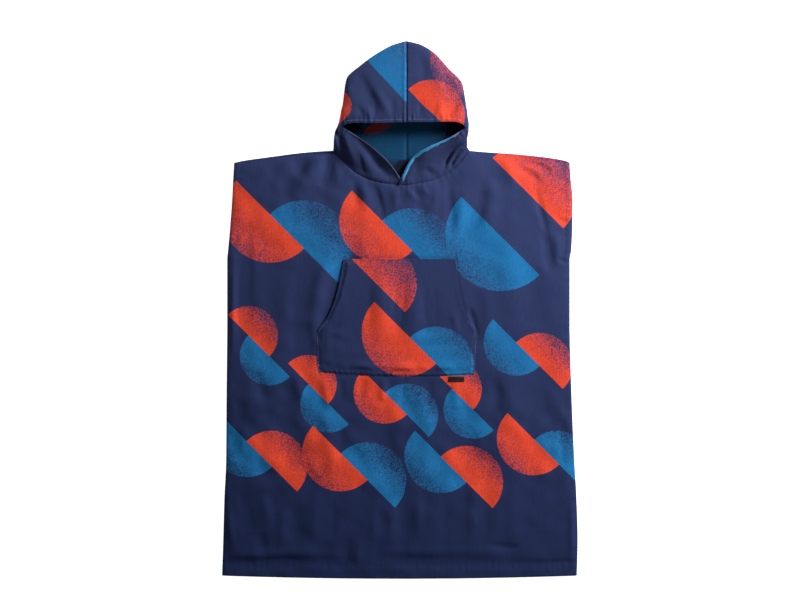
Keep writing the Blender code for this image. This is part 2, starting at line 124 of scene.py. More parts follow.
# Each crease runs from (x0, y0) by the bend (x1, y1) to (x2, y2). Its height is less than 0 in a
# trough. Lean above 0 makes the side on the left of its run the steeper one.
BODY_CREASES = table(
    "x0 y0 x1 y1 x2 y2 width height lean",
    # Beside the left hand opening
    (-150, 148, -196, 36, -196, -74, 17, 3.4),
    (-108, 166, -130, 22, -186, -72, 22, -9),
    (-226, -30, -224, -90, -228, -152, 20, -4.6),
    (-222, 130, -232, 30, -250, -80, 20, -1.6),
    (-254, 90, -262, 0, -256, -90, 22, 1.8),
    # At the left armhole and below it
    (-336, 192, -350, 116, -344, 40, 11, -3.6),
    (-330, 198, -352, 184, -378, 150, 9, -2.6),
    (-354, 156, -356, 20, -354, -100, 15, -6, -0.3),
    (-377, 150, -379, 20, -377, -112, 7, 2.2),
    # From the right of the neck to the right armhole
    (110, 300, 112, 232, 116, 158, 10, -3.6),
    (146, 276, 144, 236, 130, 184, 12, 2.6),
    (188, 268, 178, 214, 130, 144, 14, -4.8),
    (212, 292, 206, 220, 190, 146, 18, 2.8),
    (304, 276, 316, 220, 334, 160, 7, -2.6),
    (320, 182, 334, 140, 336, 80, 11, -3.6),
    (350, 176, 356, 140, 354, 96, 10, 2),
    (352, 118, 370, 106, 390, 102, 5, -1.6),
    (352, 206, 368, 196, 388, 194, 6, -1.6),
    # On the right shoulder
    (266, 342, 306, 332, 340, 308, 8, -4.6, 0.2),
    (264, 322, 296, 308, 314, 286, 8, -4, 0.2),
    (240, 344, 250, 300, 262, 260, 14, 2.2),
    # Beside the right hand opening
    (190, 70, 204, 0, 200, -90, 18, 2, -0.2),
    (156, 6, 165, -24, 171, -60, 6, -4.8),
    # Under the neck
    (-12, 278, -8, 252, -12, 222, 9, 1.8),
    (-60, 286, -47, 250, -36, 198, 9, -2.8, 0.3),
    (-84, 294, -80, 260, -73, 220, 12, 3.2),
    (-104, 300, -100, 268, -98, 226, 9, -1.8),
    (12, 277, 22, 262, 40, 240, 6, 1.2),
    (26, 279, 34, 264, 52, 246, 5, -1),
    (44, 282, 54, 268, 70, 254, 6, 1.4),
    (30, 262, 50, 226, 62, 196, 12, -1.8),
    (78, 290, 80, 260, 78, 214, 10, 1.6),
    # On the left shoulder
    (-158, 352, -161, 316, -176, 274, 11, -5),
    (-158, 388, -187, 324, -246, 252, 17, 5.2),
    (-140, 336, -138, 306, -142, 270, 10, 2),
    (-206, 352, -222, 328, -240, 304, 16, -2.6),
    (-290, 346, -306, 300, -336, 250, 18, 1.8),
    # Upright, on the lower body
    (-114, -512, -116, -540, -136, -590, 10, -3.6, 0.3),
    (-92, -510, -90, -540, -104, -580, 10, 1.8),
    (-400, -396, -394, -480, -366, -548, 12, 3.8),
    (-354, -410, -346, -456, -334, -500, 15, -2.4),
    (-320, -500, -314, -520, -300, -546, 11, -2.4),
    (-308, -412, -304, -450, -288, -484, 14, 2.4),
    (-270, -440, -262, -490, -268, -545, 12, 1.9),
    (-242, -430, -234, -480, -238, -540, 15, -1.4),
    (-196, -400, -186, -480, -196, -560, 15, 1.8),
    (-150, -440, -148, -480, -154, -520, 10, -1.8),
    (-20, -424, -18, -480, -22, -534, 12, 2.2),
    (8, -416, 8, -480, 6, -564, 14, -2.6),
    (40, -420, 42, -470, 40, -520, 11, 2),
    (-60, -430, -56, -480, -62, -520, 10, 1.6),
    (96, -400, 104, -470, 96, -540, 14, -1.4),
    (163, -396, 165, -470, 160, -546, 12, 1.9),
    (190, -410, 196, -470, 190, -540, 12, -1.4),
    (250, -400, 258, -480, 250, -550, 16, 1.8),
    (364, -248, 366, -300, 364, -348, 8, -3.6),
    (388, -420, 392, -500, 388, -590, 10, 3.2),
    # Along the hem, in uneven lengths
    (-424, -568, -330, -572, -226, -568, 14, -4.6),
    (-424, -550, -320, -555, -230, -550, 13, 2.6),
    (-320, -568, -220, -562, -136, -570, 14, -3.4),
    (-300, -551, -220, -546, -150, -554, 11, 1.6),
    (-190, -560, -140, -566, -80, -572, 11, -2.2, 0.1),
    (-60, -558, 30, -568, 120, -564, 15, -3.4),
    (-50, -540, 30, -550, 110, -546, 13, 1.8),
    (50, -572, 130, -560, 214, -568, 15, -3.4),
    (80, -553, 150, -544, 206, -550, 12, 1.3),
    (180, -566, 250, -574, 330, -571, 13, -2.8),
    (196, -528, 236, -535, 274, -536, 7, -2.4),
    (290, -568, 340, -574, 402, -564, 9, -2, 0.3),
    # Beside and below the pocket
    (-206, -28, -209, -84, -206, -136, 12, -2.4),
    (-330, -136, -318, -166, -300, -206, 12, -3.6),
    (-236, -138, -226, -168, -224, -206, 13, 3.4),
    (-176, -152, -164, -186, -160, -224, 11, 2.6),
    (-136, -154, -128, -180, -136, -210, 9, -2.4),
    (-84, -154, -84, -178, -94, -210, 9, -3.8),
    (-38, -152, -34, -176, -42, -206, 10, 3.8),
    (6, -154, 12, -184, 4, -220, 10, -2),
    (62, -154, 68, -184, 58, -224, 12, -2.6),
    (120, -154, 128, -186, 124, -226, 12, 2.4),
    (210, -150, 220, -190, 214, -240, 14, -2.6),
    (-360, -250, -350, -280, -356, -330, 14, 3),
    # Broad and faint, over the plain stretches
    (-330, -150, -316, -250, -336, -360, 26, 3.2),
    (-250, -200, -236, -290, -250, -400, 26, -3.6),
    (-150, -230, -160, -300, -146, -400, 24, 3.4),
    (-40, -220, -30, -290, -44, -390, 26, -3.6),
    (60, -220, 74, -290, 60, -380, 24, 3.6),
    (150, -220, 140, -290, 156, -400, 26, -3.6),
    (240, -120, 256, -240, 240, -380, 28, 3.4),
    (320, -60, 312, -160, 326, -280, 26, -3),
    (250, 240, 244, 120, 256, -10, 34, 2.6),
    (300, 120, 292, 50, 300, -40, 26, -2.2),
    (-300, 190, -306, 80, -296, -40, 28, -2.2),
)
HOOD_CREASES = table(
    "x0 y0 x1 y1 x2 y2 width height lean",
    # On the crown
    (-104, 546, -76, 494, -44, 432, 17, -3, 0.3),
    (-124, 520, -116, 490, -108, 456, 11, 2.2),
    (-60, 500, -40, 470, -22, 432, 10, 1.6),
    (-96, 462, -88, 446, -82, 424, 7, -1.4, 0.2),
    (-76, 456, -68, 440, -66, 424, 6, 1.2),
    (-58, 462, -54, 446, -56, 426, 6, -1),
    (-20, 480, -14, 456, -16, 426, 8, -1.2),
    (144, 484, 128, 458, 102, 430, 11, -5, 0.2),
    (96, 470, 88, 448, 86, 426, 8, 1.6),
    (48, 470, 44, 448, 46, 426, 8, -1.4),
    (42, 580, 56, 548, 52, 506, 11, -1, 0.2),
    (70, 574, 88, 530, 92, 486, 15, 1.5),
    (104, 526, 112, 500, 110, 474, 11, -1.6),
    # On the left flap
    (-146, 420, -130, 356, -101, 290, 7, -3.4),
    (-152, 410, -147, 362, -130, 312, 6, 3.4),
    (-127, 404, -117, 360, -94, 300, 9, 2.6, -0.3),
    (-91, 350, -85, 328, -78, 296, 4, -1.4, 0.2),
    (-100, 392, -62, 346, 6, 266, 12, -5.4, -0.2),
    (-68, 342, -40, 310, 4, 266, 14, -4.2),
    (-88, 354, -72, 324, -56, 290, 11, 2.2),
    # On the right flap, nested at its outer end
    (145, 370, 106, 362, 99, 304, 5.5, -4.4, 0.1),
    (147, 367, 111, 358, 106, 306, 5, 3),
    (149, 361, 118, 352, 113, 300, 4.5, -4.2, 0.2),
    (119, 338, 114, 322, 117, 302, 4, -2.8),
    (46, 380, 47, 346, 50, 308, 26, 3.8),
    (122, 392, 98, 352, 96, 306, 26, -4.4),
    (54, 320, 67, 304, 92, 291, 8, -7.6),
    (20, 330, 30, 310, 28, 292, 8, 2.4, -0.2),
    (8, 303, 26, 297, 46, 293, 4, -3),
)
POCKET_CREASES = table(
    "x0 y0 x1 y1 x2 y2 width height lean",
    # Down the pocket
    (-120, 110, -132, 40, -158, -6, 12, 2.2),
    (-84, 104, -92, 20, -80, -90, 24, -3.4),
    (-40, 100, -46, 20, -40, -80, 20, 3.8),
    (0, 96, 2, 20, -8, -60, 14, -3.4),
    (30, 70, 36, -20, 24, -110, 22, 3),
    (66, 96, 60, 10, 72, -70, 18, -2.8),
    # From the right hand opening
    (36, -56, 76, -36, 128, -20, 6, -2.2, 0.3),
    (30, -72, 76, -60, 134, -52, 8, 1.8),
    (70, 60, 96, 76, 126, 90, 6, -2, 0.3),
    (40, -82, 90, -78, 150, -80, 5, -1.2),
    (150, 16, 139, -18, 140, -48, 6, -3.6),
    (120, 4, 122, -30, 134, -62, 8, 2.4),
    # From the left hand opening
    (-124, 96, -120, 66, -126, 34, 9, -3.4),
    (-136, 16, -146, -20, -150, -54, 9, -5, 0.2),
    (-166, -36, -150, -50, -120, -60, 8, 2.2),
    (-180, -66, -150, -64, -110, -74, 9, -1.8, 0.2),
    (-140, -50, -146, -90, -140, -128, 20, 2.8),
    (-172, -96, -130, -100, -90, -92, 14, 1.8),
    (-164, -34, -162, -80, -165, -126, 9, 3.6),
    (120, 110, 96, 86, 84, 52, 12, -2.2),
    # Above the bottom seam
    (-190, -104, -170, -112, -142, -120, 9, 5.4, -0.3),
    (-146, -126, -130, -122, -112, -128, 8, 3.4, -0.3),
    (-116, -130, -86, -122, -52, -132, 8, 7, -0.3),
    (-52, -124, -38, -130, -20, -127, 7, 2.8, -0.3),
    (-24, -134, 6, -125, 36, -133, 8, 6.4, -0.3),
    (40, -128, 58, -134, 76, -129, 7, 2.6, -0.3),
    (76, -134, 100, -124, 128, -133, 8, 5.6, -0.3),
    (128, -128, 148, -133, 172, -124, 8, 3.4, -0.3),
)

# Sections of the two hood halves, from the peak to the neck, each from the back seam round the side
# fold to the inner edge: the crown seam, then the brim, then the edge of the face opening.
LEFT_HOOD = table(
    "back_y side_x side_y side_z edge_x edge_y edge_z",
    (593, 14.6, 603.8, 4.5, 14.6, 596, 8.2),
    (572, -13, 596, 6.5, 14.6, 575, 13.5),
    (546, -49, 577, 8.5, 14.6, 548, 18.5),
    (513, -87, 549.5, 10.5, 14.6, 515, 24),
    (479, -119.5, 518, 13, 14.6, 480, 29),
    (449, -125.5, 482, 15.5, 14.6, 450, 32.5),
    (430, -128, 461, 17.5, 14.6, 420.5, 35),
    (419, -131, 449, 19, -42, 418.8, 34.5),
    (408, -133.6, 435, 19.5, -98, 419, 32),
    (402, -136, 424, 19, -121, 416, 28.5),
    (397, -139, 414, 18, -129, 410, 26),
    (383, -145.5, 399, 15.5, -97, 389.5, 26.5),
    (367, -147.8, 382, 11.5, -60, 363, 26),
    (352, -148.6, 368, 6, -21, 326.5, 24),
    (337.2, -149.6, 357.2, 1.55, 10, 281, 8.5),
)
RIGHT_HOOD = table(
    "back_y side_x side_y side_z edge_x edge_y edge_z",
    (593, 14.6, 603.8, 4.5, 14.6, 596, 8.2),
    (572, 42.5, 597, 6.5, 14.6, 575, 13.5),
    (546, 75, 578.5, 8.5, 14.6, 548, 18.5),
    (513, 108, 543, 10.5, 14.6, 515, 24),
    (479, 140, 507, 13, 14.6, 480, 29),
    (449, 146, 475, 16, 14.6, 450, 32.5),
    (430, 149, 455, 18, 14.6, 420.5, 35),
    (419, 150.5, 445, 19.5, 68, 420.6, 35),
    (408, 151.8, 433, 20.5, 116, 421.8, 33),
    (402, 153.6, 424, 20, 138, 417.5, 30),
    (397, 154.4, 414, 19, 147.5, 408, 27),
    (383, 153.6, 399, 16.5, 110, 385.5, 26),
    (367, 150.6, 382, 12, 66, 366.5, 25.5),
    (352, 150.6, 368, 6, 28, 342.5, 25),
    (337.2, 156.4, 357.2, 1.55, -4, 281, 8.5),
)
BRIM_CENTRE, MOUTH_CORNER = 6, 10  # rows of both tables where the inner edge turns

# Sections of the pocket, from its bottom seam to its top.
POCKET = table(
    "up left_x left_y right_x right_y",
    (0.00, -181, -141.8, 169.5, -146.5),
    (0.10, -185.5, -124.5, 169.5, -131),
    (0.28, -186.5, -52, 172, -60),
    (0.34, -181, -41, 169, -44),
    (0.45, -163.5, -18, 156, -18),
    (0.60, -145, 25, 141, 15),
    (0.80, -133.5, 71, 130.5, 60),
    (1.00, -126, 114, 125, 114),
)

# Printed motifs: half discs. The arc bulges towards the turn, in degrees.
# A motif is solid up to "full" and thins out to its "least" cover at "bare", both measured from the
# straight side in shares of the radius. Ink 0 is orange and ink 1 is blue.
MOTIF_COLUMNS = "x y radius turn ink full bare least"
BODY_PRINT = table(
    MOTIF_COLUMNS,
    (-292, 214, 108, 225, 0, 0.15, 1, 0.35),
    (-216, 138, 108, 45, 1, 0, 0.9, 0.12),
    (-40, 200, 96, 225, 0, 0.2, 1, 0.45),
    (28, 132, 96, 45, 1, 0.1, 0.9, 0.1),
    (226, 166, 124, 225, 1, 0.25, 1, 0.3),
    (288, 262, 112, 45, 0, 0, 0.9, 0.15),
    (-340, -58, 66, 45, 0, 0.1, 0.9, 0.15),
    (-294, -104, 66, 225, 1, 0.2, 1, 0.3),
    (-206, -166, 64, 45, 0, 0.2, 1, 0.3),
    (-160, -212, 64, 225, 1, 0.2, 1, 0.25),
    (-34, -186, 70, 225, 0, 0.3, 1, 0.35),
    (16, -236, 70, 45, 1, 0.1, 1, 0.15),
    (118, -178, 66, 45, 0, 0.2, 1, 0.2),
    (164, -224, 66, 225, 1, 0.3, 1, 0.3),
    (262, -74, 74, 225, 1, 0.2, 1, 0.25),
    (314, -126, 74, 45, 0, 0.1, 0.9, 0.2),
    (-344, -296, 80, 225, 1, 0.2, 1, 0.3),
    (-288, -352, 80, 45, 0, 0.2, 1, 0.3),
    (-134, -322, 86, 225, 0, 0.2, 1, 0.4),
    (-72, -384, 86, 45, 1, 0.1, 0.9, 0.15),
    (92, -330, 82, 225, 1, 0.2, 1, 0.3),
    (150, -388, 82, 45, 0, 0.2, 1, 0.25),
    (300, -290, 82, 225, 0, 0.3, 1, 0.4),
    (352, -342, 70, 45, 1, 0.1, 1, 0.2),
)
NAPE_PRINT = (64, 374, 72, 270, 1, 0.3, 0.9, 0.3)  # on the back panel alone
POCKET_PRINT = table(
    MOTIF_COLUMNS,
    (-52, 58, 90, 45, 0, -0.5, 0.9, 0.12),
    (12, -52, 98, 225, 0, 0.25, 1, 0.4),
    (82, -122, 84, 45, 1, 0.2, 1, 0.3),
)
LEFT_HOOD_PRINT = table(
    MOTIF_COLUMNS,
    (-18, 508, 104, 45, 1, 0.1, 1, 0.3),
    (-142, 456, 40, 0, 0, 0.5, 1.1, 0.4),
    (-330, 404, 140, 0, 1, 0.6, 1.1, 0.35),
    (-226, 428, 34, 225, 0, 0.1, 1, 0.3),
)
RIGHT_HOOD_PRINT = table(
    MOTIF_COLUMNS,
    (64, 440, 76, 45, 0, 0.3, 1, 0.35),
    (142, 556, 80, 225, 0, -0.6, 0.8, 0.05),
    (330, 410, 116, 180, 1, 0.6, 1.1, 0.3),
)
HOOD_PAINTED_SHADE = {"tone": 0.82, "inside_tone": 0.38}  # painted shade: the hood is darkened below the body, and its inside much more


# Numbers along a line and over a plan


def smooth(stations: Array, values: Array, at: Array, kinks: tuple[int, ...] = ()) -> Array:
    """Reads a table's column between its rows, on cubic pieces without overshoot.

    Args:
        stations: Where the rows stand, rising.
        values: The column's value at each row.
        at: Where to read it.
        kinks: Rows at which the slope may break.

    Returns:
        The value at each place.
    """
    spans = np.diff(stations)
    rates = np.diff(values) / spans
    before, after = rates[:-1], rates[1:]
    turns = before * after <= 0
    shared = np.where(turns, 0, 2 * before * after / np.where(turns, 1, before + after))
    arriving = np.concatenate([rates[:1], shared, rates[-1:]])
    leaving = arriving.copy()
    for kink in kinks:
        arriving[kink], leaving[kink] = rates[kink - 1], rates[kink]
    span = np.clip(np.searchsorted(stations, at, side="right") - 1, 0, len(spans) - 1)
    t = (at - stations[span]) / spans[span]
    ends = values[span] * (1 + 2 * t) * (1 - t) ** 2 + values[span + 1] * t**2 * (3 - 2 * t)
    slopes = leaving[span] * t * (1 - t) ** 2 - arriving[span + 1] * t**2 * (1 - t)
    return ends + spans[span] * slopes


def ramp(value: Array, start: Any, end: Any) -> Array:
    """0 before start, 1 after end and a smooth step between them."""
    t = np.clip((value - start) / (end - start), 0, 1)
    return t * t * (3 - 2 * t)


def mix(a: Any, b: Any, share: Any) -> Any:
    """The value that lies this share of the way from a to b."""
    return a + (b - a) * share


def bell(distance: Array, width: Any) -> Array:
    """1 at no distance, falling off softly over the width."""
    return np.exp(-((distance / width) ** 2))


def as_points(*columns: Array) -> Array:
    """Points with these coordinates."""
    return np.stack(columns, axis=-1)


def beside_line(x: Array, y: Array, line: Array) -> tuple[Array, Array]:
    """Places plan points beside a line of points.

    Args:
        x: Across the plan.
        y: Up the plan.
        line: Points of the line, one row each.

    Returns:
        The distance from the line, above 0 on its left, and how far along the line that is.
    """
    nearest, side, run = np.full(x.shape, np.inf), np.ones(x.shape), np.zeros(x.shape)
    passed = 0.0
    for (x0, y0), (x1, y1) in zip(line[:-1], line[1:]):
        dx, dy = x1 - x0, y1 - y0
        length = np.hypot(dx, dy)
        t = np.clip(((x - x0) * dx + (y - y0) * dy) / length**2, 0, 1)
        off = np.hypot(x - x0 - t * dx, y - y0 - t * dy)
        nearer = off < nearest
        nearest = np.where(nearer, off, nearest)
        side = np.where(nearer, np.where(dx * (y - y0) < dy * (x - x0), -1, 1), side)
        run = np.where(nearer, passed + t * length, run)
        passed += length
    return nearest * side, run


def moved_aside(line: Array, distance: float) -> Array:
    """A line of plan points, one row each, moved to its left by this distance."""
    normal = np.gradient(line, axis=0)[:, ::-1] * (-1, 1)
    return line + distance * normal / np.linalg.norm(normal, axis=1, keepdims=True)


def even_steps(line: Array, spans: int) -> Array:
    """The same line of plan points, one row each, cut into this many even spans."""
    run = np.insert(np.cumsum(np.linalg.norm(np.diff(line, axis=0), axis=1)), 0, 0)
    return as_points(*(np.interp(np.linspace(0, run[-1], spans + 1), run, column) for column in line.T))


# What moves the cloth up and down


@dataclass(frozen=True)
class Creases:
    """Soft ridges and troughs, each along a bent line, that taper towards both ends."""

    rows: Table
    gain: float = 1.0
    steps: int = 9
    fullness: float = 0.9  # a power below 1 keeps more of the height along the line
    reach: float = 2.6  # widths past which a crease is nothing

    def height(self, x: Array, y: Array) -> Array:
        """Height that the creases add over each plan point.

        Args:
            x: Across the plan.
            y: Up the plan.

        Returns:
            The height.
        """
        total = np.zeros_like(x)
        share = np.linspace(0, 1, self.steps)[:, None]
        for x0, y0, x1, y1, x2, y2, width, height, lean in zip(*self.rows.values()):
            start, bend, end = (np.array(p)[None, :] for p in ((x0, y0), (x1, y1), (x2, y2)))
            line = mix(mix(start, bend, share), mix(bend, end, share), share)
            low, high = line.min(axis=0) - self.reach * width, line.max(axis=0) + self.reach * width
            near = (x > low[0]) & (x < high[0]) & (y > low[1]) & (y < high[1])
            if not near.any():
                continue
            off, run = beside_line(x[near], y[near], line)
            length = np.linalg.norm(np.diff(line, axis=0), axis=1).sum()
            taper = np.sin(np.pi * np.clip(run / length, 0, 1)) ** self.fullness
            total[near] += self.gain * height * taper * bell(off, width * (1 - lean * np.tanh(off / width)))
        return total


@dataclass(frozen=True)
class Puckers:
    """Small gathers that a row of stitches draws into the cloth, uneven in spacing and depth."""

    spacing: float
    depth: float
    reach: float
    seed: int
    spacings: Pair = (0.5, 1.5)
    depths: Pair = (0.1, 1.0)

    def height(self, off: Array, run: Array) -> Array:
        """Height at this distance from the stitches and this way along them.

        Args:
            off: The distance from the line.
            run: How far along the line that is.

        Returns:
            The height.
        """
        draw = np.random.default_rng(self.seed)
        count = int(np.max(run, initial=0) / self.spacing * 1.4) + 8  # more than the row needs
        knots = np.cumsum(self.spacing * draw.uniform(*self.spacings, count)) - 2 * self.spacing
        depths = draw.uniform(*self.depths, count)
        wave = np.cos(2 * np.pi * np.interp(run, knots, np.arange(count)))
        return self.depth * np.interp(run, knots, depths) * wave * bell(off, self.reach)


@dataclass(frozen=True)
class Unevenness:
    """Faint waves in many directions, as cloth that was handled keeps them."""

    longest: float = 200.0
    shortest: float = 40.0
    height_per_length: float = 0.0036
    count: int = 26
    seed: int = 7

    def height(self, x: Array, y: Array) -> Array:
        """Height over each plan point.

        Args:
            x: Across the plan.
            y: Up the plan.

        Returns:
            The height.
        """
        draw = np.random.default_rng(self.seed)
        total = np.zeros_like(x)
        for _ in range(self.count):
            length = draw.uniform(self.shortest, self.longest)
            turn, phase = draw.uniform(0, np.pi), draw.uniform(0, 2 * np.pi)
            along = (x * np.cos(turn) + y * np.sin(turn)) / length
            total += self.height_per_length * length * np.sin(2 * np.pi * along + phase)
        return total / np.sqrt(self.count / 2)  # about as high as one wave


@dataclass(frozen=True)
class Hem:
    """A turned and stitched edge: thicker up to its stitches, which sink in and pucker the cloth."""

    depth: float
    rise: float
    puckers: Puckers
    step: float = 4.0
    groove: float = 0.7
    groove_width: float = 1.8

    def height(self, off: Array, run: Array) -> Array:
        """Height at this distance from the edge and this way along it.

        Args:
            off: The distance from the line.
            run: How far along the line that is.

        Returns:
            The height.
        """
        beyond = off - self.depth
        turned = self.rise * (1 - ramp(beyond, 0, self.step))
        return turned - self.groove * bell(beyond, self.groove_width) + self.puckers.height(beyond, run)


# The body's form


@dataclass(frozen=True)
class BodyForm:
    """The cut of the body's panels, and how the front one lies on the back one."""

    half_length: float = 604.5
    half_hem: float = 399.5
    hem_bow: float = 7.0
    nape_drop: float = 20.0
    centre_seam_x: float = 14.6
    air: float = 5.0  # under the front panel
    air_fall: float = 32.0
    air_fullness: float = 2.4
    floor_rise: float = 1.5  # how high over the back panel the creases' troughs level out
    floor_softness: float = 1.2
    crease_fall: float = 16.0
    neck_lift: float = 4.0
    neck_lift_reach: Pair = (70.0, 42.0)
    neck_sink: Pair = (0.9, 2.4)  # all along the seam, and more at the throat's left
    neck_sink_x: float = -40.0
    neck_sink_reach: float = 55.0
    neck_groove: Pair = (0.8, 2.6)  # its depth and its width
    neck_zone: Pair = (220.0, 230.0)  # it lies within this x and above this y
    neck_steps: int = 60
    neck_fineness: int = 6  # points that the neckline is read at for each of its spans
    pocket_clear: Pair = (-12.0, 3.0)  # from where to where the pocket lets creases out
    pocket_clear_right: float = -2.0  # in place of the first, on the pocket's right
    pocket_right: Pair = (0.0, 80.0)
    pocket_bottom_bow: float = 6.0
    pocket_groove: float = 0.55
    pocket_groove_width: float = 2.3
    pocket_groove_place: float = 1.2
    pocket_top: Pair = (100.0, 112.0)  # the groove is deeper above this
    pocket_top_gain: float = 1.6
    armhole_foot: float = 112.0
    armhole_blend: float = 6.0
    side_shift: float = 40.0  # how far up the side seams' gathers are moved, within the side zone
    side_zone: float = 200.0
    corner: Pair = (-300.0, -470.0)  # the most handled part
    corner_reach: Pair = (130.0, 120.0)
    yoke_y: float = 290.0
    yoke_reach: float = 70.0
    wear: tuple[float, ...] = (0.6, 0.9, 0.3, 0.2, 0.7)  # all over, low, left, at the corner and the yoke
    low_zone: Pair = (120.0, 240.0)  # how far down the low part begins
    calm_zone: Pair = (370.0, 460.0)  # and how far down it grows calmer again
    hem_calm: float = 0.8
    left_zone: Pair = (-60.0, 300.0)
    hem_crumple_place: float = 16.0
    hem_crumple_reach: float = 20.0
    hem_crumple_end: float = 60.0
    creases: Creases = field(default=Creases(BODY_CREASES, gain=1.15))
    unevenness: Unevenness = Unevenness()
    crumple: Unevenness = Unevenness(90.0, 26.0, 0.0078, 44, seed=8)
    hem_crumple: Unevenness = Unevenness(24.0, 9.0, 0.0034, 60, seed=9)
    hem: Hem = Hem(25.0, 0.6, Puckers(13.0, 0.4, 13.0, seed=11), groove=0.35)
    armhole_hem: Hem = Hem(13.0, 0.6, Puckers(14.0, 0.6, 9.0, seed=12), step=3.0)
    neck_puckers: Puckers = Puckers(12.0, 0.7, 14.0, seed=13)
    side_puckers: Puckers = Puckers(24.0, 0.5, 15.0, seed=14)

    def sides(self, y: Array) -> tuple[Array, Array]:
        """Left and right edge of the body at this height of the plan."""
        level = np.clip(y, BODY_SIDES["y"][0], BODY_SIDES["y"][-1])
        return tuple(smooth(BODY_SIDES["y"], BODY_SIDES[side], level) for side in ("left", "right"))

    def hem_y(self, x: Array) -> Array:
        """Where the hem's edge lies."""
        return -self.half_length + self.hem_bow * (x / self.half_hem) ** 2

    def shoulder_line(self, shoulder: Table, spans: int) -> Array:
        """Plan points of one shoulder seam, both ends among them."""
        x = np.linspace(shoulder["x"][0], shoulder["x"][-1], spans + 1)
        return as_points(x, smooth(shoulder["x"], shoulder["y"], x))

    def neck_line(self, spans: int) -> Array:
        """Plan points of the front neckline, cut into this many even spans from left to right."""
        at = np.linspace(0, 1, spans * self.neck_fineness)
        return even_steps(as_points(*(smooth(NECKLINE["along"], NECKLINE[k], at) for k in "xy")), spans)

    def nape_line(self, neck_point: Array, spans: int) -> Array:
        """Plan points of the back neckline from a neck point to the centre seam.

        Args:
            neck_point: Where the shoulder seam ends.
            spans: How many steps.

        Returns:
            The points, one row each.
        """
        share = np.linspace(0, 1, spans + 1)
        x = mix(neck_point[0], self.centre_seam_x, share)
        return as_points(x, neck_point[1] - self.nape_drop * (1 - (1 - share) ** 2))

    def beyond_pocket(self, x: Array, y: Array) -> Array:
        """How far each point lies outside the pocket, less than 0 inside it.

        Args:
            x: Across the plan.
            y: Up the plan.

        Returns:
            The distance.
        """
        left = np.interp(y, POCKET["left_y"], POCKET["left_x"])
        right = np.interp(y, POCKET["right_y"], POCKET["right_x"])
        low, high = POCKET["left_y"][0] - self.pocket_bottom_bow, POCKET["left_y"][-1]
        return np.maximum(np.maximum(left - x, x - right), np.maximum(low - y, y - high))

    def handled(self, x: Array, y: Array) -> Array:
        """How crumpled the cloth is: least on its right half, most at the hem's left corner.

        Args:
            x: Across the plan.
            y: Up the plan.

        Returns:
            A factor for the crumples' height.
        """
        across, up = self.corner_reach
        at_corner = bell(x - self.corner[0], across) * bell(y - self.corner[1], up)
        at_yoke = bell(y - self.yoke_y, self.yoke_reach)
        low = ramp(-y, *self.low_zone) * (1 - self.hem_calm * ramp(-y, *self.calm_zone))
        all_over, lower, left, corner, yoke = self.wear
        return all_over + lower * low + left * ramp(-x, *self.left_zone) + corner * at_corner + yoke * at_yoke

    def underside(self, x: Array, y: Array) -> Array:
        """Height of the front panel's lower face.

        Args:
            x: Across the plan.
            y: Up the plan.

        Returns:
            The height.
        """
        left, right = self.sides(y)
        edge = np.minimum(x - left, right - x)
        for shoulder in (LEFT_SHOULDER, RIGHT_SHOULDER):
            ends = as_points(shoulder["x"][[0, -1]], shoulder["y"][[0, -1]])
            edge = np.minimum(edge, np.abs(beside_line(x, y, ends)[0]))
        rise = np.clip(edge / self.air_fall, 0, 1)
        air = self.air * (1 - (1 - rise) ** self.air_fullness) ** (1 / self.air_fullness)
        throat_x, throat_y = NECKLINE["x"][THROAT], NECKLINE["y"][THROAT]
        reach_x, reach_y = self.neck_lift_reach
        lift = self.neck_lift * bell(x - throat_x, reach_x) * bell(y - throat_y, reach_y)
        moved = self.creases.height(x, y) + self.unevenness.height(x, y)
        moved += self.crumple.height(x, y) * self.handled(x, y)
        inner, outer = self.pocket_clear
        inner = mix(inner, self.pocket_clear_right, ramp(x, *self.pocket_right))
        free = ramp(edge, 0, self.crease_fall) * ramp(self.beyond_pocket(x, y), inner, outer)
        height = (air + lift + moved * free) / self.floor_softness
        return WALL + SEAM_GAP + self.floor_softness * np.logaddexp(0, height - self.floor_rise)

    def seam_sink(self, x: Array) -> Array:
        """How deep the hood's edge sinks into the neck seam, most at the throat's left."""
        everywhere, more = self.neck_sink
        return everywhere + more * bell(x - self.neck_sink_x, self.neck_sink_reach)

    def sewn_relief(self, x: Array, y: Array) -> Array:
        """What the hems, the seams and their puckers add to the front panel's upper face.

        Args:
            x: Across the plan.
            y: Up the plan.

        Returns:
            The height to add.
        """
        left, right = self.sides(y)
        above_hem = y - self.hem_y(x)
        total = self.hem.height(above_hem, x + self.half_hem)
        low = above_hem < self.hem_crumple_end
        crumple = self.hem_crumple.height(x[low], y[low])
        total[low] += crumple * bell(above_hem[low] - self.hem_crumple_place, self.hem_crumple_reach)
        for off in (x - left, right - x):
            arm = ramp(y, self.armhole_foot - self.armhole_blend, self.armhole_foot + self.armhole_blend)
            run = y + self.half_length
            total += arm * self.armhole_hem.height(off, run)
            shift = self.side_shift * np.sign(off - self.side_zone)
            total += (1 - arm) * self.side_puckers.height(off, run + shift)
        groove = self.pocket_groove * (1 + self.pocket_top_gain * ramp(y, *self.pocket_top))
        beyond = self.beyond_pocket(x, y) - self.pocket_groove_place
        total -= groove * bell(beyond, self.pocket_groove_width)
        near = (y > self.neck_zone[1]) & (np.abs(x) < self.neck_zone[0])
        off, run = beside_line(x[near], y[near], self.neck_line(self.neck_steps))
        depth, width = self.neck_groove
        total[near] += self.neck_puckers.height(off, run) - depth * bell(off, width)
        return total


# The wall that each sheet is made as


def new_object(name: str, data: bpy.types.ID) -> Piece:
    """Puts an object into the scene.

    Args:
        name: Its name.
        data: Its mesh, curve, light or camera.

    Returns:
        The new object.
    """
    made = bpy.data.objects.new(name, data)
    bpy.context.scene.collection.objects.link(made)
    return made


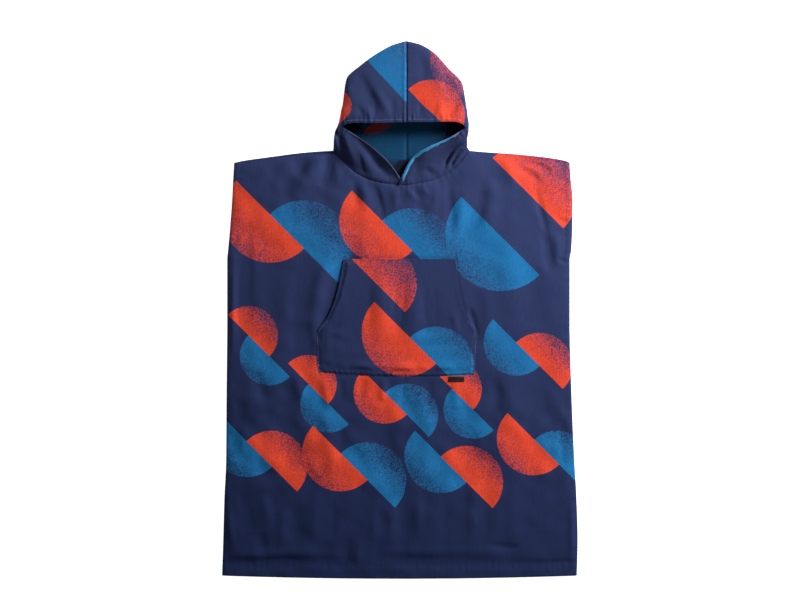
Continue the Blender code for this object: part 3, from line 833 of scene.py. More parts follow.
@dataclass
class Sheet:
    """One cut piece as a grid of points with two faces.

    Attributes:
        outer: Points of the printed face, or of the face that lies uppermost.
        inner: Points of the other face.
        cut: Where each point lay on the flat cloth.
        turned: Where a hem's turned edge rolls into view, 0 to 1.
        inner_step: The other face takes every so many points, where it is hidden.
        loops_outside: Whether the first face is the loop side.
        rim_bulge: How far the rim stands out, in walls.
        crisp_rim: Whether the rim has a sharp upper corner.
    """

    outer: Array
    inner: Array
    cut: Array
    turned: Array | None = None
    inner_step: int = 1
    loops_outside: bool = False
    rim_bulge: float = 0.35
    crisp_rim: bool = False

    def rim(self, grid: Array) -> Array:
        """Indices round the edge of a grid, once."""
        return np.concatenate([grid[0], grid[1:, -1], grid[-1, -2::-1], grid[-2:0:-1, 0]])

    def faces(self, over: Array, under: Array, ring: Array) -> list[tuple[int, ...]]:
        """All faces of the closed wall.

        Args:
            over: Indices of the outer face's grid.
            under: Indices of the inner face's grid.
            ring: Indices of the points round the rim, between the faces.

        Returns:
            Each face's points, by index.
        """
        faces: list[tuple[int, ...]] = []
        for grid, turn in ((over, 1), (under, -1)):
            corners = (grid[:-1, :-1], grid[:-1, 1:], grid[1:, 1:], grid[1:, :-1])
            quads = np.stack([c.ravel() for c in corners], axis=1)[:, ::turn]
            faces += map(tuple, quads.tolist())
        upper, lower, step = self.rim(over), self.rim(under), self.inner_step
        upper_next, ring_next = np.roll(upper, -1), np.roll(ring, -1)
        faces += map(tuple, np.stack([upper_next, upper, ring, ring_next], axis=1).tolist())
        closed = np.append(ring, ring[0]).tolist()
        for k, (start, end) in enumerate(zip(lower.tolist(), np.roll(lower, -1).tolist())):
            faces.append((*closed[k * step : (k + 1) * step + 1][::-1], start, end))
        return faces

    def build(self, name: str, material: Material) -> Piece:
        """Makes the closed wall, in metres, with its cut map and its marks.

        Args:
            name: The piece's name.
            material: What it is made of.

        Returns:
            The finished piece.
        """
        rows, columns = self.outer.shape[:2]
        thin = np.s_[:: self.inner_step, :: self.inner_step]
        over = np.arange(rows * columns).reshape(rows, columns)
        rim = self.rim(over)
        r, c = np.unravel_index(rim, over.shape)
        middle = (self.outer + self.inner) / 2
        out = middle[r, c] - middle[np.clip(r, 1, rows - 2), np.clip(c, 1, columns - 2)]
        out /= np.linalg.norm(out, axis=1, keepdims=True) + 1e-9
        ring_points = middle[r, c] + out * WALL * self.rim_bulge
        inner = self.inner[thin]
        under = over.size + np.arange(inner[..., 0].size).reshape(inner.shape[:2])
        ring = over.size + under.size + np.arange(len(rim))

        mesh = bpy.data.meshes.new(name)
        points = np.concatenate([self.outer.reshape(-1, 3), inner.reshape(-1, 3), ring_points])
        mesh.from_pydata((points * MM).tolist(), [], self.faces(over, under, ring))
        self.write_maps(mesh, over, thin, (r, c))
        mesh.calc_loop_triangles()
        corners = np.array([t.vertices[:] for t in mesh.loop_triangles])
        if np.linalg.det(points[corners]).sum() < 0:
            mesh.flip_normals()
        mesh.shade_smooth()
        if self.crisp_rim:
            on_rim = np.isin(np.array([e.vertices[:] for e in mesh.edges]), rim).all(axis=1)
            sharp = mesh.attributes.new("sharp_edge", "BOOLEAN", "EDGE")
            sharp.data.foreach_set("value", on_rim)
        mesh.materials.append(material)
        return new_object(name, mesh)

    def write_maps(self, mesh: bpy.types.Mesh, over: Array, thin: Any, rim: tuple[Array, Array]) -> None:
        """Writes the cut map and the marks onto the mesh.

        Args:
            mesh: The wall's mesh.
            over: Indices of the outer face's grid.
            thin: The points of the grid that the inner face has.
            rim: Rows and columns of the rim's points.
        """

        def of_points(values: Array) -> Array:
            """The grid's values at the points of both faces and of the rim's ring."""
            tail = values.shape[2:]
            return np.concatenate([values.reshape(-1, *tail), values[thin].reshape(-1, *tail), values[rim]])

        loops = np.empty(len(mesh.loops), dtype=np.int32)
        mesh.loops.foreach_get("vertex_index", loops)
        mesh.uv_layers.new(name=CUT_MAP)
        mesh.uv_layers[CUT_MAP].data.foreach_set("uv", (of_points(self.cut) * MM)[loops].ravel())
        loop_side = np.zeros(len(mesh.vertices))
        first, second = over.size, over.size + self.inner[thin][..., 0].size
        loop_side[:first] = float(self.loops_outside)
        loop_side[first:second] = float(not self.loops_outside)
        turned = np.zeros(self.outer.shape[:2]) if self.turned is None else self.turned
        for name, values in ((INSIDE_MARK, loop_side), (TURNED_MARK, of_points(turned))):
            mark = mesh.attributes.new(name, "FLOAT", "POINT")
            mark.data.foreach_set("value", values.astype(np.float32))


# Finishes


def linear(colour: str) -> tuple[float, float, float, float]:
    """An sRGB hex value as linear red, green, blue and alpha.

    Args:
        colour: As #rrggbb.

    Returns:
        Its four shares.
    """
    parts = np.array([int(colour[k : k + 2], 16) for k in (1, 3, 5)]) / 255
    curve = np.where(parts <= 0.04045, parts / 12.92, ((parts + 0.055) / 1.055) ** 2.4)
    return (*curve.tolist(), 1.0)


def feed(tree: Tree, node: Node, links: dict[Any, Any]) -> None:
    """Feeds a node's inputs.

    Args:
        tree: The node's tree.
        node: The node.
        links: For each input, by name or place, the socket that feeds it or its own value.
    """
    for socket, value in links.items():
        if isinstance(value, Socket):
            tree.links.new(value, node.inputs[socket])
        else:
            node.inputs[socket].default_value = value


def add(tree: Tree, kind: str, links: dict[Any, Any], **settings: Any) -> Node:
    """Adds a node.

    Args:
        tree: The tree that it goes into.
        kind: The node's type.
        links: What feeds its inputs.
        **settings: The node's other properties.

    Returns:
        The new node.
    """
    node = tree.nodes.new(kind)
    for name, value in settings.items():
        setattr(node, name, value)
    feed(tree, node, links)
    return node


@dataclass(frozen=True)
class Finish:
    """A finish: its name, and what feeds its surface shader."""

    name: str

    def inputs(self, tree: Tree) -> dict[str, Any]:
        """What feeds each of the shader's inputs, by the input's name."""
        raise NotImplementedError

    def material(self) -> Material:
        """Makes the finish a material.

        Returns:
            The material.
        """
        material = bpy.data.materials.new(self.name)
        material.use_nodes = True
        tree = material.node_tree
        feed(tree, tree.nodes["Principled BSDF"], self.inputs(tree))
        return material


@dataclass(frozen=True)
class PrintedTowelling(Finish):
    """Microfibre towelling, knitted with a short pile and printed on its smooth face.

    The pile scatters light evenly, with little gloss and a faint sheen at a low angle. Real dots of
    the print's stipple are about 1 mm, and are drawn coarser here so that they show.
    """

    motifs: Table
    turned_ink: str = "#4b9bd0"
    # Painted light and shade on the navy ground: lighter towards the top right, darker towards the hem's left
    ground_painted_light: str = "#333e69"
    ground_painted_shade: str = "#1b2850"
    painted_shade_slant: tuple[float, float, float] = (0.35, 0.94, 0)
    painted_shade_run: Pair = (-0.62, 0.52)  # metres along the slant over which the painted light gives way to the painted shade
    orange: str = "#f14d2e"
    blue: str = "#1e76b2"
    full_cover: float = 1.12  # past 1, so that a motif's solid part has no gaps
    dot: float = 1.6
    dot_softness: float = 0.9
    nap_grain: float = 1.6
    nap_relief: float = 0.5
    nap_strength: float = 0.6
    streak: Pair = (3.5, 26.0)  # their width and length
    streak_noise: Pair = (0.25, 0.75)
    streak_tones: Pair = (0.93, 1.07)
    rib_spacing: float = 4.6
    rib_depth: float = 0.35
    rib_unevenness: float = 1.5
    # Painted shade: the next two darken the loop side and a whole piece, in place of shade
    inside_tone: float = 0.62
    tone: float = 1.0
    roughness: float = 0.82
    gloss: float = 0.12
    sheen: float = 0.04
    sheen_roughness: float = 0.5

    def ground(self, tree: Tree, cut: Socket) -> Socket:
        """The navy ground, with painted light and shade: lighter towards the top right, darker towards the
        hem's left.

        Args:
            tree: The material's tree.
            cut: The place on the flat cloth.

        Returns:
            The ground's colour.
        """
        slant = add(tree, "ShaderNodeVectorMath", {0: cut, 1: self.painted_shade_slant}, operation="DOT_PRODUCT")
        low, high = self.painted_shade_run
        share = add(tree, "ShaderNodeMapRange", {"Value": slant.outputs["Value"], 1: low, 2: high})
        colours = {6: linear(self.ground_painted_shade), 7: linear(self.ground_painted_light)}
        return add(tree, "ShaderNodeMix", {0: share.outputs[0], **colours}, data_type="RGBA").outputs[2]

    def printed(self, tree: Tree, cut: Socket) -> Socket:
        """The ground with every motif printed on it.

        Args:
            tree: The material's tree.
            cut: The place on the flat cloth.

        Returns:
            The print's colour.
        """
        stipple = {"Vector": cut, "Scale": 1 / (self.dot * MM)}
        cells = add(tree, "ShaderNodeTexVoronoi", stipple, voronoi_dimensions="2D")
        dots = add(tree, "ShaderNodeSeparateColor", {0: cells.outputs["Color"]}).outputs[0]
        colour = self.ground(tree, cut)
        inks = (linear(self.orange), linear(self.blue))
        for x, y, radius, turn, ink, full, bare, least in zip(*self.motifs.values()):
            place = {
                "Vector": cut,
                "Location": (x * MM, y * MM, 0),
                "Rotation": (0, 0, np.radians(turn)),
                "Scale": (radius * MM, radius * MM, 1),
            }
            local = add(tree, "ShaderNodeMapping", place, vector_type="TEXTURE").outputs[0]
            straight = add(tree, "ShaderNodeSeparateXYZ", {0: local}).outputs["X"]
            reach = add(tree, "ShaderNodeVectorMath", {0: local}, operation="LENGTH").outputs["Value"]
            fade = {"Value": straight, 1: full, 2: bare, 3: self.full_cover, 4: least}
            chance = add(tree, "ShaderNodeMapRange", fade).outputs[0]
            lack = add(tree, "ShaderNodeMath", {0: dots, 1: chance}, operation="SUBTRACT").outputs[0]
            edge = {"Value": lack, 1: -self.dot_softness / 2, 2: self.dot_softness / 2, 3: 1.0, 4: 0.0}
            cover = add(tree, "ShaderNodeMapRange", edge).outputs[0]
            for value, limit, test in ((reach, 1.0, "LESS_THAN"), (straight, 0.0, "GREATER_THAN")):
                inside = add(tree, "ShaderNodeMath", {0: value, 1: limit}, operation=test).outputs[0]
                cover = add(tree, "ShaderNodeMath", {0: cover, 1: inside}, operation="MULTIPLY").outputs[0]
            layers = {0: cover, 6: colour, 7: inks[int(ink)]}
            colour = add(tree, "ShaderNodeMix", layers, data_type="RGBA").outputs[2]
        return colour

    def toned(self, tree: Tree, colour: Socket, cut: Socket, inside: Socket) -> Socket:
        """The print with the pile's streaks, darkened by painted shade on the loop side and over the whole
        piece.

        Args:
            tree: The material's tree.
            colour: The print's colour.
            cut: The place on the flat cloth.
            inside: 1 on the loop side.

        Returns:
            The finished colour.
        """
        across, along = self.streak
        stretched = add(tree, "ShaderNodeMapping", {"Vector": cut, "Scale": (1, across / along, 1)})
        noise = {"Vector": stretched.outputs[0], "Scale": 1 / (across * MM), "Detail": 2.0}
        streaks = add(tree, "ShaderNodeTexNoise", noise, noise_dimensions="2D").outputs["Fac"]
        (low, high), (dark, light) = self.streak_noise, self.streak_tones
        tones = {"Value": streaks, 1: low, 2: high, 3: dark * self.tone, 4: light * self.tone}
        tone = add(tree, "ShaderNodeMapRange", tones).outputs[0]
        # painted shade on the loop side
        painted_loop_shading = {"Value": inside, 1: 0.0, 2: 1.0, 3: 1.0, 4: self.inside_tone}
        painted_loop_shade = add(tree, "ShaderNodeMapRange", painted_loop_shading).outputs[0]
        both = add(tree, "ShaderNodeMath", {0: tone, 1: painted_loop_shade}, operation="MULTIPLY").outputs[0]
        grey = add(tree, "ShaderNodeCombineXYZ", {k: both for k in (0, 1, 2)}).outputs[0]
        layers = {0: 1.0, 6: colour, 7: grey}
        return add(tree, "ShaderNodeMix", layers, data_type="RGBA", blend_type="MULTIPLY").outputs[2]

    def relief(self, tree: Tree, cut: Socket, inside: Socket) -> Socket:
        """Bump of the pile, and of the ribs on the loop side.

        Args:
            tree: The material's tree.
            cut: The place on the flat cloth.
            inside: 1 on the loop side.

        Returns:
            The surface's direction.
        """
        nap_noise = {"Vector": cut, "Scale": 1 / (self.nap_grain * MM), "Detail": 3.0}
        nap = add(tree, "ShaderNodeTexNoise", nap_noise, noise_dimensions="2D").outputs["Fac"]
        scale = WAVE_LENGTH / (self.rib_spacing * MM)
        bands = {"Vector": cut, "Scale": scale, "Distortion": self.rib_unevenness, "Detail Scale": 2.0}
        ribs = add(tree, "ShaderNodeTexWave", bands, bands_direction="Y").outputs["Fac"]
        shown = add(tree, "ShaderNodeMath", {0: ribs, 1: inside}, operation="MULTIPLY").outputs[0]
        layers = {0: shown, 1: self.rib_depth, 2: nap}
        height = add(tree, "ShaderNodeMath", layers, operation="MULTIPLY_ADD").outputs[0]
        bump = {"Strength": self.nap_strength, "Distance": self.nap_relief * MM, "Height": height}
        return add(tree, "ShaderNodeBump", bump).outputs[0]

    def inputs(self, tree: Tree) -> dict[str, Any]:
        """What feeds each of the shader's inputs.

        Args:
            tree: The material's tree.

        Returns:
            A socket or a value for each input's name.
        """
        cut = add(tree, "ShaderNodeUVMap", {}, uv_map=CUT_MAP).outputs[0]
        inside, turned = (
            add(tree, "ShaderNodeAttribute", {}, attribute_name=mark).outputs["Fac"]
            for mark in (INSIDE_MARK, TURNED_MARK)
        )
        layers = {0: turned, 6: self.printed(tree, cut), 7: linear(self.turned_ink)}
        colour = add(tree, "ShaderNodeMix", layers, data_type="RGBA").outputs[2]
        return {
            "Base Color": self.toned(tree, colour, cut, inside),
            "Normal": self.relief(tree, cut, inside),
            "Roughness": self.roughness,
            "Specular IOR Level": self.gloss,
            "Sheen Weight": self.sheen,
            "Sheen Roughness": self.sheen_roughness,
        }


@dataclass(frozen=True)
class WovenTag(Finish):
    """Polyester taffeta tape: fine crosswise ribs, black, with a dull satin gloss."""

    name: str = "black_woven_tape"
    dark: str = "#0a0b0d"
    light: str = "#15161b"
    rib: float = 1.1
    rib_unevenness: float = 0.4
    rib_relief: float = 0.2
    rib_strength: float = 0.5
    roughness: float = 0.55
    gloss: float = 0.3

    def inputs(self, tree: Tree) -> dict[str, Any]:
        """What feeds each of the shader's inputs.

        Args:
            tree: The material's tree.

        Returns:
            A socket or a value for each input's name.
        """
        cut = add(tree, "ShaderNodeUVMap", {}, uv_map=CUT_MAP).outputs[0]
        bands = {"Vector": cut, "Scale": WAVE_LENGTH / (self.rib * MM), "Distortion": self.rib_unevenness}
        ribs = add(tree, "ShaderNodeTexWave", bands, bands_direction="X").outputs["Fac"]
        tones = {0: ribs, 6: linear(self.dark), 7: linear(self.light)}
        bump = {"Strength": self.rib_strength, "Distance": self.rib_relief * MM, "Height": ribs}
        return {
            "Base Color": add(tree, "ShaderNodeMix", tones, data_type="RGBA").outputs[2],
            "Normal": add(tree, "ShaderNodeBump", bump).outputs[0],
            "Roughness": self.roughness,
            "Specular IOR Level": self.gloss,
        }


@dataclass(frozen=True)
class Grained(Finish):
    """A plain finish whose colour varies between two near tones, in grains of one size."""

    dark: str
    light: str
    grains: float  # in a metre
    roughness: float
    gloss: float

    def inputs(self, tree: Tree) -> dict[str, Any]:
        """What feeds each of the shader's inputs.

        Args:
            tree: The material's tree.

        Returns:
            A socket or a value for each input's name.
        """
        place = add(tree, "ShaderNodeTexCoord", {}).outputs["Object"]
        grain = add(tree, "ShaderNodeTexNoise", {"Vector": place, "Scale": self.grains}).outputs["Fac"]
        tones = {0: grain, 6: linear(self.dark), 7: linear(self.light)}
        return {
            "Base Color": add(tree, "ShaderNodeMix", tones, data_type="RGBA").outputs[2],
            "Roughness": self.roughness,
            "Specular IOR Level": self.gloss,
        }


@dataclass(frozen=True)
class SewingThread(Grained):
    """Spun polyester thread, with a soft gloss and a twist too fine to show."""

    dark: str = "#1b2448"
    light: str = "#29325c"
    grains: float = 900.0
    roughness: float = 0.6
    gloss: float = 0.3


@dataclass(frozen=True)
class MattBoard(Grained):
    """Matt white board, lit a little from within so that it stays pale."""

    name: str = "matt_white_board"
    dark: str = "#f7f7f6"
    light: str = "#fbfbfa"
    grains: float = 40.0
    roughness: float = 0.95
    gloss: float = 0.1

    def inputs(self, tree: Tree) -> dict[str, Any]:
        """The grained finish, with light of its own."""
        return {**super().inputs(tree), "Emission Color": (1, 1, 1, 1), "Emission Strength": 1.0}


# The garment's pieces


@dataclass
class BodyPanel:
    """A panel of the body, with a row of points for each step from the hem to its top edge."""

    form: BodyForm
    finish: PrintedTowelling
    shoulder_spans: int = 75
    rows: int = 266
    column_fan: float = 1.5  # above 1, so that the columns fan out late
    neck_fade: int = 3  # above 1, so that the rows bend to the neckline late

    def grid(self, neck: Array, zone: Array) -> tuple[Array, Array]:
        """Lays the panel's grid over its plan.

        Args:
            neck: Plan points of the neckline, from left to right.
            zone: Distances from the hem's edge of the rows that are closer to each other.

        Returns:
            The points' x and y.
        """
        form = self.form
        left, right = (form.shoulder_line(s, self.shoulder_spans) for s in (LEFT_SHOULDER, RIGHT_SHOULDER))
        top = np.concatenate([left[:-1], neck, right[1:]])
        level = top[self.shoulder_spans, 1]
        steps = np.concatenate([zone, np.linspace(zone[-1], level + form.half_length, self.rows + 1)[1:]])
        left, right = form.sides(top[:, 1])
        top_share = (top[:, 0] - left) / (right - left)
        rise = (steps / steps[-1])[:, None]
        share = mix(np.linspace(0, 1, len(top)), top_share, rise**self.column_fan)
        x = mix(-form.half_hem, form.half_hem, share)
        for _ in range(2):
            y = mix(form.hem_y(x), level, rise) - (level - top[:, 1]) * rise**self.neck_fade
            left, right = form.sides(y)
            x = mix(left, right, share)
        return x, y


@dataclass
class FrontPanel(BodyPanel):
    """The front panel, from the shoulders to the turned hem."""

    neck_spans: int = 120
    hem_zone: float = 46.0
    zone_rows: int = 25

    def build(self) -> Piece:
        """Makes the panel's mesh and dresses it.

        Returns:
            The finished piece.
        """
        neck = moved_aside(self.form.neck_line(self.neck_spans), -SEAM_GAP / 4)
        x, y = self.grid(neck, np.linspace(0, self.hem_zone, self.zone_rows + 1))
        low = self.form.underside(x, y)
        high = low + WALL + self.form.sewn_relief(x, y)
        sheet = Sheet(as_points(x, y, high), as_points(x, y, low), cut=as_points(x, y), inner_step=3)
        return sheet.build("front_panel_cloth", self.finish.material())


@dataclass
class BackPanel(BodyPanel):
    """The back panel. It lies flat, loop side up, and shows at the armholes and inside the hood."""

    shoulder_spans: int = 26
    rows: int = 120
    nape_spans: int = 20

    def build(self) -> Piece:
        """Makes the panel's mesh and dresses it.

        Returns:
            The finished piece.
        """
        ends = (np.array([s["x"][k], s["y"][k]]) for s, k in ((LEFT_SHOULDER, -1), (RIGHT_SHOULDER, 0)))
        left, right = (self.form.nape_line(end, self.nape_spans) for end in ends)
        x, y = self.grid(np.concatenate([left, right[-2::-1]]), np.zeros(1))
        low = np.zeros_like(x)
        mirrored = as_points(-x, y)  # the print faces down
        sheet = Sheet(as_points(x, y, low + WALL), as_points(x, y, low), cut=mirrored, loops_outside=True)
        return sheet.build("back_panel_cloth", self.finish.material())


@dataclass
class HoodHalf:
    """One half of the hood: from the back seam, round its side fold, to the crown seam and mouth."""

    side: Side
    form: BodyForm
    finish: PrintedTowelling
    sections: Table
    crown_rows: int = 90
    brim_rows: int = 54
    throat_rows: int = 64
    lower_spans: int = 30
    upper_spans: int = 92
    neck_spans: int = 420
    lower_fan: float = 1.7  # above 1, so that the lower layer's columns stand closer at the fold
    upper_fan: float = 0.72  # above 0, so that the upper layer's columns stand closer at both ends
    lap_share: float = 0.53  # where on the neckline each half ends
    bottom_z: float = WALL / 2
    upper_turn: float = 0.85
    upper_fullness: float = 2.8
    fold_roundness: float = 1.15
    fold_start: float = 0.012  # the share of the upper layer in which it rises, past the mouth's corner
    fold_blend: float = 0.25
    fold_ends: float = 0.5
    crease_end: int = 12
    flap_start: Pair = (0.8, 0.45)  # how high each flap is right at its side fold
    flap_reach: Pair = (0.5, 0.95)  # and the share of its width in which it rises
    flap_blend: float = 0.2  # the share of the bend in which that start comes in
    flap_puff: Pair = (3.0, 1.5)  # how suddenly a flap falls to the neck seam: at its side fold, past it
    puff_reach: float = 0.3
    lap_reach: float = 46.0
    edge_lean: float = 0.3
    creases: Creases = field(default_factory=lambda: Creases(HOOD_CREASES, gain=1.5))
    mouth_hem: Hem = Hem(7.0, 0.7, Puckers(10.5, 1.2, 11.0, seed=21), step=3.0)
    neck_puckers: Puckers = Puckers(12.0, 0.7, 14.0, seed=13)
    seam_puckers: Puckers = Puckers(15.0, 0.5, 9.0, seed=22)
    sink_width: Pair = (1.9, 0.9)  # of the neck seam's groove: the least, and more for each mm of depth
    roll_width: Pair = (2.4, 7.4)  # at the mouth's corner and at the throat
    roll_height: float = 2.4
    roll_end: float = 19.0  # short of the neck seam
    roll_softness: Pair = (3.0, 1.2)  # of its end and of its side
    roll_start: Pair = (2.0, 22.0)  # past the mouth's corner
    roll_spread: float = 90.0  # past the corner, where it has its full width
    roll_waves: tuple[tuple[float, float, float], ...] = ((0.5, 3.7, 0.0), (0.4, 2.1, 1.0))
    roll_groove: tuple[float, float, float] = (1.2, 1.5, 2.0)  # depth, place and width
    hem_under_roll: float = 0.85  # the share of the hem's height that the roll takes away
    bare_edge: Pair = (1.0, 1.8)  # how much of the left half's edge is turned
    bare_rise: tuple[float, float, float] = (0.5, 1.5, 2.5)  # share of the roll's height, place and width
    end_dent: tuple[float, ...] = (1.6, 4.0, 3.0, 14.0)  # where rolls end: depth, place, length and width
    peak_y: float = 600.0
    crown_rises: Pair = (0.9, 0.2)  # of the left and the right half, beside the crown seam
    crown_ridge: Pair = (5.0, 3.5)  # place and width of that rise
    crown_groove: Pair = (1.6, 2.2)  # depth and width
    fold_margin: Pair = (0.02, 0.15)  # share of the upper layer that stays plain
    inner_relief: float = 0.6  # how much of the relief shows on the inner face
    normal_passes: int = 8
    rim_columns: int = 12
    tuck: tuple[Pair, ...] = ((-141.0, 438.0), (-141.0, 415.0), (-142.0, 398.0))
    tuck_share: float = 0.55
    tuck_reach: float = 7.0

    def stations(self) -> dict[str, Array]:
        """The sections' columns at each row of the grid.

        Returns:
            Each column by name, and how far each row bends to the neck seam.
        """
        last = len(self.sections["back_y"]) - 1
        crown = np.linspace(0, BRIM_CENTRE, self.crown_rows)
        brim = np.linspace(BRIM_CENTRE, MOUTH_CORNER, self.brim_rows + 1)[1:]
        throat = np.linspace(MOUTH_CORNER, last, self.throat_rows + 1)[1:]
        rows = np.concatenate([crown, brim, throat])
        found = {}
        for name, values in self.sections.items():
            kinks = (BRIM_CENTRE, MOUTH_CORNER) if name.startswith("edge") else ()
            found[name] = smooth(np.arange(last + 1.0), values, rows, kinks)[:, None]
        found["bend"] = ramp(rows, MOUTH_CORNER, last)[:, None]
        return found

    @staticmethod
    def brim_row(sections: Table, inset: float = 6.3) -> Array:
        """Plan points of the stitches along the brim, this far above its edge.

        Args:
            sections: The half's sections.
            inset: The height above the edge.

        Returns:
            The points, one row each.
        """
        rows = np.arange(len(sections["edge_x"]) * 1.0)
        at = np.linspace(BRIM_CENTRE + 0.1, MOUTH_CORNER - 1.2, 80)  # a little short of both ends
        x, y = (smooth(rows, sections[name], at, (BRIM_CENTRE,)) for name in ("edge_x", "edge_y"))
        return as_points(x, y + inset)

    def neck_lines(self) -> tuple[Array, Array]:
        """The half's stretch of the front neckline, and of the nape, from the neck point inwards.

        Returns:
            Plan points of the two stretches.
        """
        side = self.side.value
        whole = moved_aside(self.form.neck_line(self.neck_spans), SEAM_GAP / 4)[::-side]
        end = int(round(self.lap_share * self.neck_spans))
        neck = even_steps(whole[: end + 1], self.upper_spans)
        nape = self.form.nape_line(neck[0], self.lower_spans)
        return neck, moved_aside(nape, -side * SEAM_GAP / 4)

    @staticmethod
    def bent(start: Any, end: Any, share: Array, line: Array, bend: Array) -> list[Array]:
        """Plan points between two ends, bent towards a line that has its own even steps.

        Args:
            start: Where each row starts.
            end: Where each row ends.
            share: Shares of the way.
            line: The line, from the first share to the last.
            bend: How far each row bends to it.

        Returns:
            The points' x and y.
        """
        steps = np.linspace(0, 1, len(line))
        moved = []
        for k in (0, 1):
            off = np.interp(share, steps, line[:, k]) - mix(line[0][k], line[-1][k], share)
            moved.append(mix(start[k], end[k], share) + bend * off)
        return moved

    @staticmethod
    def round_rise(share: Array, fullness: float = 2.0) -> Array:
        """Rise of a quarter ellipse, or of a fuller curve: upright at 0 and level at 1."""
        return np.maximum(0, 1 - (1 - np.clip(share, 0, 1)) ** fullness) ** (1 / fullness)

    def middle(self, s: dict[str, Array], neck: Array, nape: Array) -> tuple[Array, Array]:
        """The half's middle surface, and the share of the way from the fold over its upper layer.

        Args:
            s: The sections' columns.
            neck: The stretch of the neckline.
            nape: The stretch of the nape.

        Returns:
            The surface's points, and the share at each point of its upper layer.
        """
        s["side_x"][-1], s["side_y"][-1] = neck[0]
        s["edge_x"][-1], s["edge_y"][-1] = neck[-1]
        side, edge = (s["side_x"], s["side_y"]), (s["edge_x"], s["edge_y"])
        back = (np.full_like(s["back_y"], nape[-1][0]), s["back_y"])
        back[1][-1] = nape[-1][1]

        lower = (np.linspace(1, 0, self.lower_spans + 1)[:-1] ** self.lower_fan)[None, :]
        x, y = self.bent(side, back, lower, nape, s["bend"])
        width = np.hypot(back[0] - side[0], back[1] - side[1])
        fold = np.minimum(self.fold_roundness * s["side_z"], width)
        z = mix(s["side_z"], self.bottom_z, self.round_rise(lower * width / fold))
        under = as_points(x, y, z)

        t = np.linspace(0, 1, self.upper_spans + 1)
        upper = (t - self.upper_fan * np.sin(2 * np.pi * t) / (2 * np.pi))[None, :]
        x, y = self.bent(side, edge, upper, neck, s["bend"])
        seam_z = np.maximum(self.form.underside(x, y) + WALL / 2, s["side_z"] + self.upper_turn)
        top = mix(s["edge_z"], seam_z, s["bend"] ** mix(*self.flap_puff, ramp(upper, 0, self.puff_reach)))
        fold_share = mix(1, self.fold_start, ramp(s["bend"], 0, self.fold_blend))
        rise = self.round_rise(upper / fold_share, self.upper_fullness)
        start, reach = self.flap_start[self.side is Side.RIGHT], self.flap_reach[self.side is Side.RIGHT]
        rise = rise * mix(1, mix(start, 1, ramp(upper, 0, reach)), ramp(s["bend"], 0, self.flap_blend))
        z = mix(s["side_z"], top, rise)
        free = np.sin(np.pi * upper) ** self.fold_ends * (1 - s["bend"] ** self.crease_end)
        z += self.creases.height(x, y) * free
        share = np.broadcast_to(upper, x.shape)
        return np.concatenate([under, as_points(x, y, z)], axis=1), share

    def mouth_line(self, middle: Array) -> Array:
        """Plan points of the mouth's edge, from the brim's centre to the throat."""
        return middle[self.crown_rows - 1 :: 2, -1, :2]

    def sewn_relief(self, middle: Array, share: Array) -> tuple[Array, Array]:
        """What the mouth's hem, the seams and their puckers add, and where the edge rolls over.

        Args:
            middle: The middle surface.
            share: The share of the way over the upper layer.

        Returns:
            The height to add, and where the turned edge shows.
        """
        x, y = middle[:, self.lower_spans :, 0], middle[:, self.lower_spans :, 1]
        line = self.mouth_line(middle)
        off, run = beside_line(x, y, line)
        off = np.abs(off)
        free = ramp(share, *self.fold_margin)
        lengths = np.linalg.norm(np.diff(line, axis=0), axis=1)
        corner, end = lengths[: self.brim_rows // 2 + 1].sum(), lengths.sum()
        throat = ramp(run, *(corner + past for past in self.roll_start)) * free
        total = self.mouth_hem.height(off, run) * free * (1 - self.hem_under_roll * throat)
        end_softness, softness = self.roll_softness
        shown = throat * ramp(end - run, self.roll_end - end_softness, self.roll_end)
        if self.side is Side.RIGHT:
            uneven = sum(high * np.sin(run / long + start) for high, long, start in self.roll_waves)
            width = mix(*self.roll_width, ramp(run, corner, corner + self.roll_spread)) + uneven
            turned = shown * (1 - ramp(off, width - softness, width))
            total += self.roll_height * throat * bell(off - width / 2, width / 2)
            groove, place, groove_width = self.roll_groove
            total -= groove * throat * bell(off - width - place, groove_width)
        else:
            turned = shown * (1 - ramp(off, *self.bare_edge))
            share, place, width = self.bare_rise
            total += share * self.roll_height * throat * bell(off - place, width)
        dent, place, length, width = self.end_dent
        total -= dent * throat * bell(end - run - self.roll_end + place, length) * bell(off, width)
        seam = np.abs(x - self.form.centre_seam_x)
        crown = (np.arange(len(x)) < self.crown_rows)[:, None]
        place, width = self.crown_ridge
        groove, groove_width = self.crown_groove
        rise = self.crown_rises[self.side is Side.RIGHT]
        near_seam = rise * bell(seam - place, width) - groove * bell(seam, groove_width)
        total += crown * (near_seam + self.seam_puckers.height(seam, self.peak_y - y))
        near = np.zeros(x.shape, bool)
        near[self.crown_rows + self.brim_rows :] = True
        off, run = beside_line(x[near], y[near], self.form.neck_line(self.form.neck_steps))
        sink = self.form.seam_sink(x[near])
        least, more = self.sink_width
        total[near] += self.neck_puckers.height(off, run) * free[near] - sink * bell(off, least + more * sink)
        return total, turned

